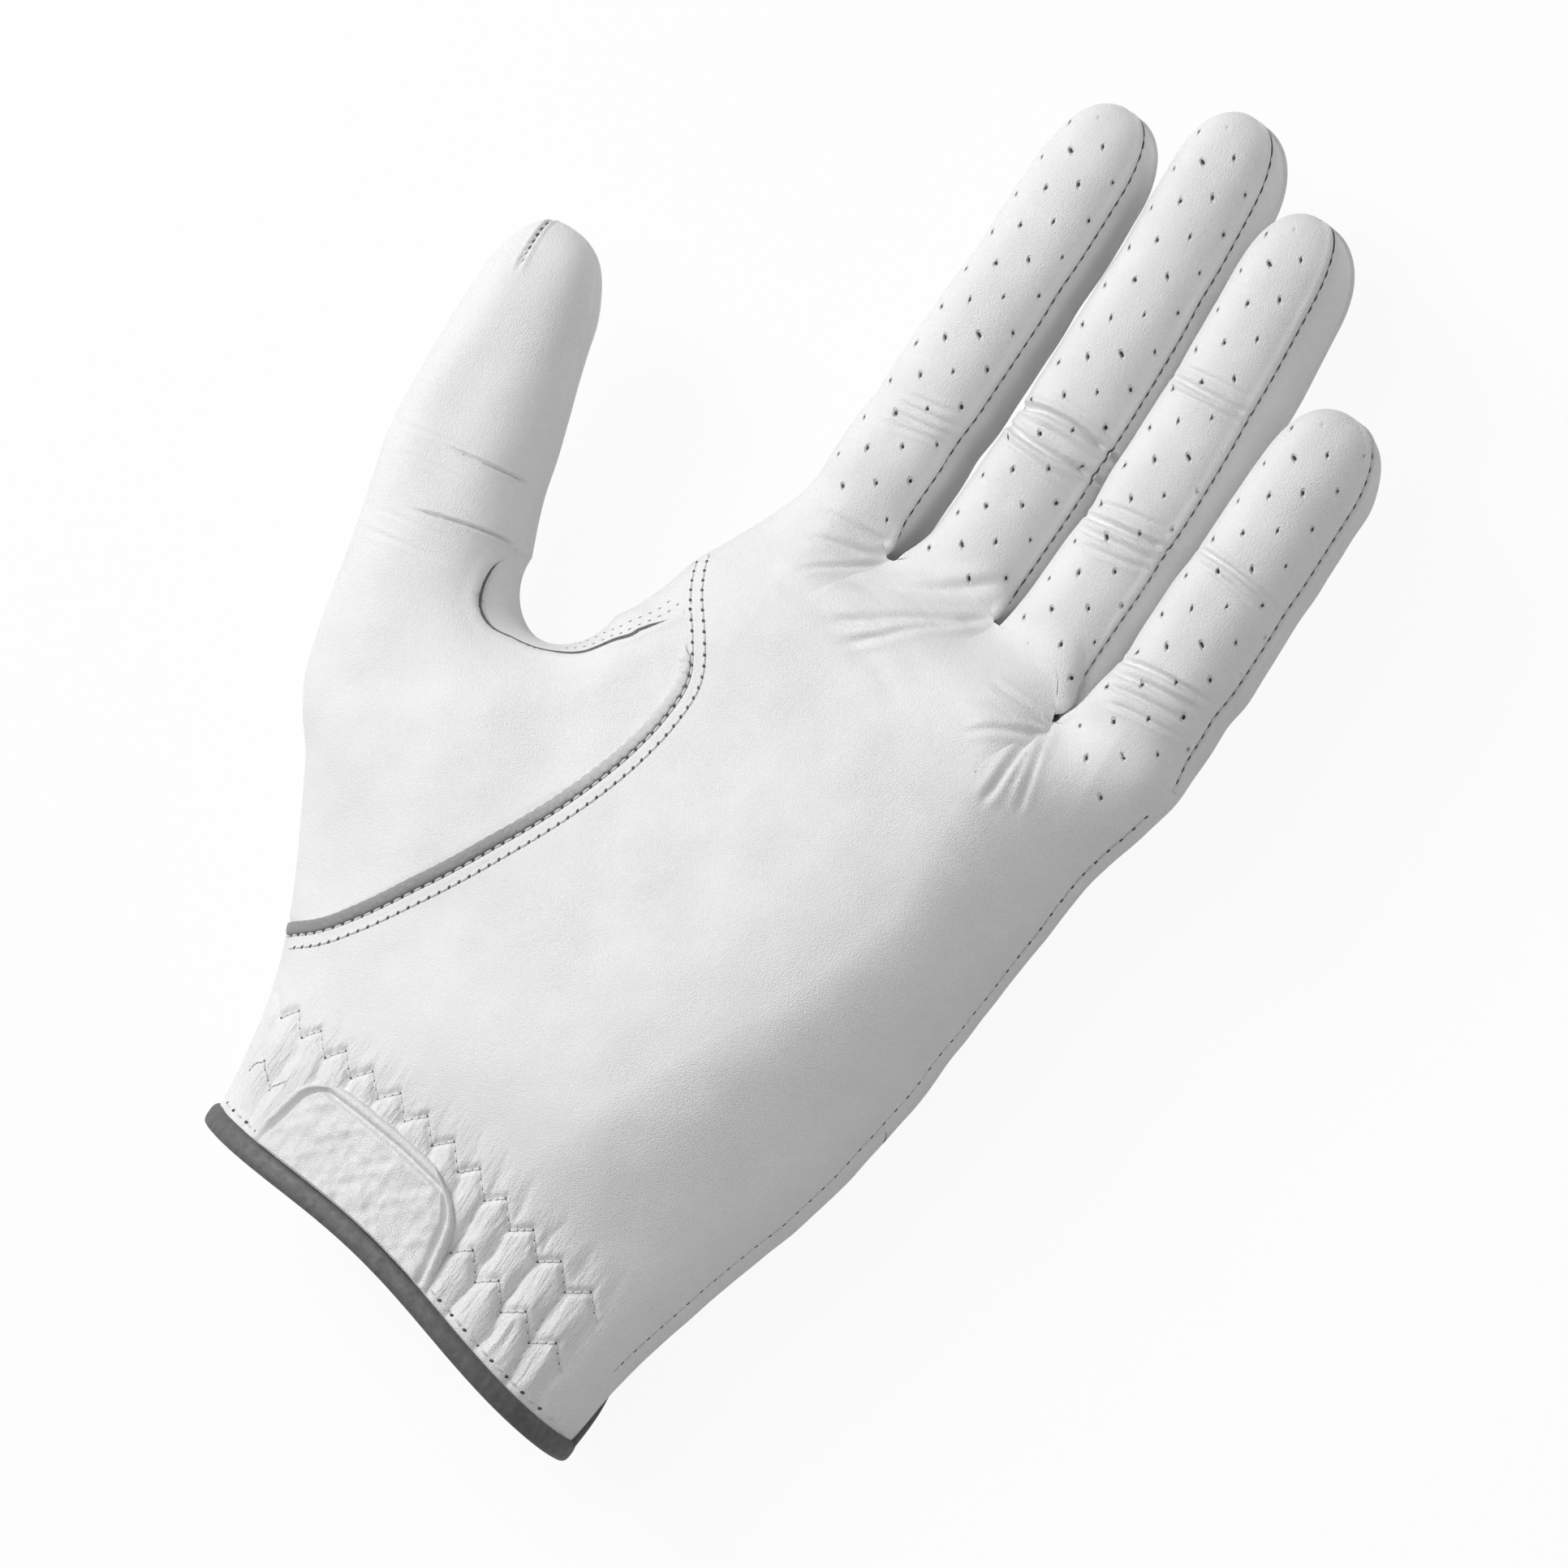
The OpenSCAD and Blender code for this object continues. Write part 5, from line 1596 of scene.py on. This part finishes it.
def tab_end(u):
    """Width share of the tab, which rounds off at its free end."""
    past = np.maximum(u - (1.0 - TAB_ROUND), 0.0) / TAB_ROUND
    return np.sqrt(np.maximum(0.0, 1.0 - past ** 2.6))


def tab_drop(d):
    """How far the tab is pressed down at a distance from its root."""
    return TAB_SINK * (1.0 - smooth(TAB_SEWN, TAB_SEWN + TAB_RISE, d))


def flat(d):
    """No drop: the pads lie level."""
    return 0.0 * d


def layer_of(name, start, stop, span, rim, drop, material):
    """A flat padded layer on the back: rounded sections carried from the sewn end out."""
    low, high = span
    d = mix(start, stop, np.sin(np.pi / 2 * np.linspace(0.0, 1.0, 120)))[:, None]
    t = np.linspace(0.0, 2.0 * np.pi, 56, endpoint=False)[None, :]
    c = signed_power(np.cos(t), 0.35)
    s = signed_power(np.sin(t), 0.6)
    wide = np.maximum(0.05, TAB_WIDTH / 2 * tab_end(d / TAB_LENGTH) - rim)
    y = TAB_MID_Y + wide * c
    x = spline(OUTER_EDGE, y) - TAB_ROOT - d
    base = hand_base(x, y, -1.0)
    n = plan_normals(x, y, -1.0 + 0.0 * x)
    depth = (low + high) / 2 - drop(d) + (high - low) / 2 * s
    rings = close_ends(raised(base, n, depth))
    return mesh_object(name, rings, cells(*rings.shape[:2], close=True), material)


tab = layer_of("closure_tab_leather", TAB_SEWN, TAB_LENGTH, TAB_SPAN, 0.0, tab_drop, BACK_LEATHER)
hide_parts("closure_tab")
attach(tab, "closure")
hook = layer_of("hook_pad_pile", PAD_START, TAB_LENGTH - 3.0, HOOK_SPAN, 3.0, flat, HOOK_PILE)
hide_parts("hook_pad")
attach(hook, "closure")
loop = layer_of("loop_pad_pile", PAD_START, TAB_LENGTH - 2.5, LOOP_SPAN, 1.5, flat, LOOP_PILE)
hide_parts("loop_pad")
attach(loop, "hand")

# sewn rim of the tab
d = np.linspace(5.0, TAB_LENGTH - 2.2, 400)
w = TAB_WIDTH / 2 * tab_end(d / TAB_LENGTH) - 2.0
up_line = np.stack([d, w], axis=-1)
down_line = np.stack([d[::-1], -w[::-1]], axis=-1)
rim_line = even(np.concatenate([up_line, down_line]), 2.4)
y = TAB_MID_Y + rim_line[:, 1]
x = spline(OUTER_EDGE, y) - TAB_ROOT - rim_line[:, 0]
n = plan_normals(x, y, -1.0 + 0.0 * x)
p = raised(hand_base(x, y, -1.0), n, RIM_UP - tab_drop(rim_line[:, 0]))
rim_thread = beads("tab_rim_thread", p, directions(p), n, RIM_THREAD, THREAD)
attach(rim_thread, "closure")

# sewn seam along the hand's outer edge, taken from the palm's own grid
q, n, s = palm_grid
at = np.sum(s < OUTER_SEAM_IN, axis=1)
row = np.arange(len(q))
both = np.concatenate([q, n], axis=-1)
share = (OUTER_SEAM_IN - s[row, at - 1]) / (s[row, at] - s[row, at - 1])
seam = mix(both[row, at - 1], both[row, at], share[:, None])
seam = seam[(seam[:, 1] > -84.0) & (seam[:, 1] < 27.0)]
OUTER_PITCH = 2.6
# the seam's needle holes are dark ovals of painted shade
for name, first, size, lift, paint in (
        ("outer_seam_thread", 0.0, ROW_THREAD, 0.04, THREAD),
        ("outer_seam_holes", OUTER_PITCH / 2, OUTER_HOLE, 0.0, NEEDLE_HOLE_SHADE)):
    line = even(seam, OUTER_PITCH, first)
    p = line[:, :3]
    n = line[:, 3:]
    row_of = beads(name, p + lift * n, directions(p), n, size, paint)
    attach(row_of, "hand")


# finger seams: pitch, start above the knuckle, end before the tip, and how far the holes sink
FINGER_PITCH = 1.9
FINGER_START = 1.0
FINGER_STOP = 3.0
FINGER_SINK = 0.12


def finger_seam(i, side, part):
    """Needle holes, as thin dark ovals of painted shade along the seam, and thread along one seam
    of a finger, in its base or its end sleeve.
    """
    turn = OUT_TURN[i] if side == "outer" else np.pi - SEAM_TURN
    first = KNUCKLE_Y[i] + FINGER_START if part == "base" else split_y(i)
    last = split_y(i) if part == "base" else KNUCKLE_Y[i] + REACH[i] - FINGER_STOP
    y = np.arange(first, last, FINGER_PITCH)[:, None] + 0.5
    around = np.array([-0.03, 0.0, 0.03])[None, :] + turn + 0.0 * y
    g = finger_surface(i, around, y + 0.0 * around)
    c = g[:, 1]
    along = finger_surface(i, around, y + 0.2 + 0.0 * around)[:, 1] - c
    out = unit(np.cross(along, g[:, 2] - g[:, 0]))
    away = (c - np.array([FINGER_X[i], 0.0, LIFT[i]])) * np.array([1.0, 0.0, 1.0])
    out = out * np.sign(np.sum(out * away, axis=-1, keepdims=True))
    c = raised(c, out, 0.25 * relief_at(c, out) - FINGER_SINK)
    name = NAMES[i] + "_" + side + "_seam_" + part
    holes = beads(name + "_holes", c, along, out, FINGER_HOLE, NEEDLE_HOLE_SHADE)
    bend_with_finger(holes, part)
    between = c + FINGER_PITCH / 2 * unit(along)
    thread = beads(name + "_thread", between, along, out, FINGER_THREAD, THREAD)
    bend_with_finger(thread, part)


SEAMS = [
    (0, "outer"), (1, "outer"), (2, "outer"),
    (1, "inner"), (2, "inner"), (3, "inner"), (3, "outer"),
]
for number, side in SEAMS:
    finger_seam(number, side, "base")
    finger_seam(number, side, "end")

# short dart at the tip of the thumb with its needle holes in painted shade, between two (x, y) ends
DART_LOW = (-77.67, 40.2)
DART_HIGH = (-80.08, 48.0)
part = np.linspace(0.0, 1.0, 8)[:, None]
dart_x = mix(DART_LOW[0], DART_HIGH[0], part)
dart_y = mix(DART_LOW[1], DART_HIGH[1], part)
a = np.linspace(0.02, np.pi / 2, 400)[None, :]
g = thumb_surface(a + 0.0 * dart_y, dart_y + 0.0 * a)
row = np.arange(len(g))
c = g[row, np.argmin(np.abs(g[..., 0] - dart_x), axis=1)]
along = directions(c)
out = unit(np.cross(along, np.cross(np.array([0.0, 0.0, 1.0]), along)))
dart = beads("thumb_dart_holes", c - 0.10 * out, along + 0.25 * np.array([1.0, 0.0, 0.0]), out,
             DART_HOLE, NEEDLE_HOLE_SHADE)
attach(dart, "thumb_tip")

# camera at the photo's angle

VIEW_TURN = math.radians(22.0)
VIEW_ROLL = math.radians(35.0)
VIEW_WIDTH = 0.230
VIEW_FAR = 2.4
SENSOR = 36.0
LAMP_FAR = 1.3
scene = bpy.context.scene
target = along_hand(0.0)
side_dir = np.array([math.cos(VIEW_TURN), 0.0, -math.sin(VIEW_TURN)])
back_dir = np.array([math.sin(VIEW_TURN), 0.0, math.cos(VIEW_TURN)])
right_dir = math.cos(VIEW_ROLL) * side_dir + math.sin(VIEW_ROLL) * UP_HAND
up_dir = math.cos(VIEW_ROLL) * UP_HAND - math.sin(VIEW_ROLL) * side_dir


def put_up(name, data, right, up, back, far):
    """A camera or lamp that looks at the target from a distance, against its back direction."""
    obj = bpy.data.objects.new(name, data)
    turned = np.eye(4)
    turned[:3] = np.stack([right, up, back, target + far * back], axis=-1)
    obj.matrix_world = Matrix(turned.tolist())
    scene.collection.objects.link(obj)
    return obj


def softbox(name, right, up, near, size, power):
    """A square soft light, placed by its direction as the photo's viewer sees it."""
    data = bpy.data.lights.new(name, "AREA")
    data.shape = "SQUARE"
    data.size = size
    data.energy = power
    way = right * right_dir + up * up_dir + near * back_dir
    way = way / np.linalg.norm(way)
    across = np.cross(up_dir, way)
    across = across / np.linalg.norm(across)
    put_up(name, data, across, np.cross(way, across), way, LAMP_FAR)


camera_data = bpy.data.cameras.new("camera")
camera_data.sensor_width = SENSOR
camera_data.lens = SENSOR * VIEW_FAR / VIEW_WIDTH
camera_data.clip_end = 20.0
scene.camera = put_up("camera", camera_data, right_dir, up_dir, back_dir, VIEW_FAR)
softbox("key light", -0.85, 0.75, 0.4, 0.6, 10.5)
softbox("fill light", -0.5, 0.4, 0.9, 0.9, 5.0)
softbox("bounce light", 0.95, -0.05, 0.33, 0.9, 1.6)

SKY_POWER = 0.27
world = bpy.data.worlds.new("studio")
world.use_nodes = True
scene.world = world
sky = world.node_tree.nodes["Background"]
feed(world.node_tree, sky, {"Color": grey(1.0), "Strength": SKY_POWER})

# pale floor that stays nearly white to the camera but keeps the shadow
FLOOR_HALF = 3.0
FLOOR_GLOW = 0.93
floor_mesh = bpy.data.meshes.new("floor")
corners = [(-1, -1), (1, -1), (1, 1), (-1, 1)]
corners = [(FLOOR_HALF * x, FLOOR_HALF * y, 0.0) for x, y in corners]
floor_mesh.from_pydata(corners, [], [(0, 1, 2, 3)])
floor = bpy.data.objects.new("floor", floor_mesh)
scene.collection.objects.link(floor)
floor_paint, tree, shader = tree_of("floor")
feed(tree, shader, {"Base Color": grey(0.85), "Roughness": 0.9})
light_path = node(tree, "ShaderNodeLightPath")
glow = node(tree, "ShaderNodeEmission", {"Strength": 1.0})
camera_part = math_node(tree, "MULTIPLY", light_path.outputs["Is Camera Ray"], FLOOR_GLOW)
both = node(tree, "ShaderNodeMixShader", {0: camera_part, 1: shader.outputs[0], 2: glow.outputs[0]})
feed(tree, tree.nodes["Material Output"], {"Surface": both.outputs[0]})
floor_mesh.materials.append(floor_paint)

scene.view_settings.view_transform = "Standard"
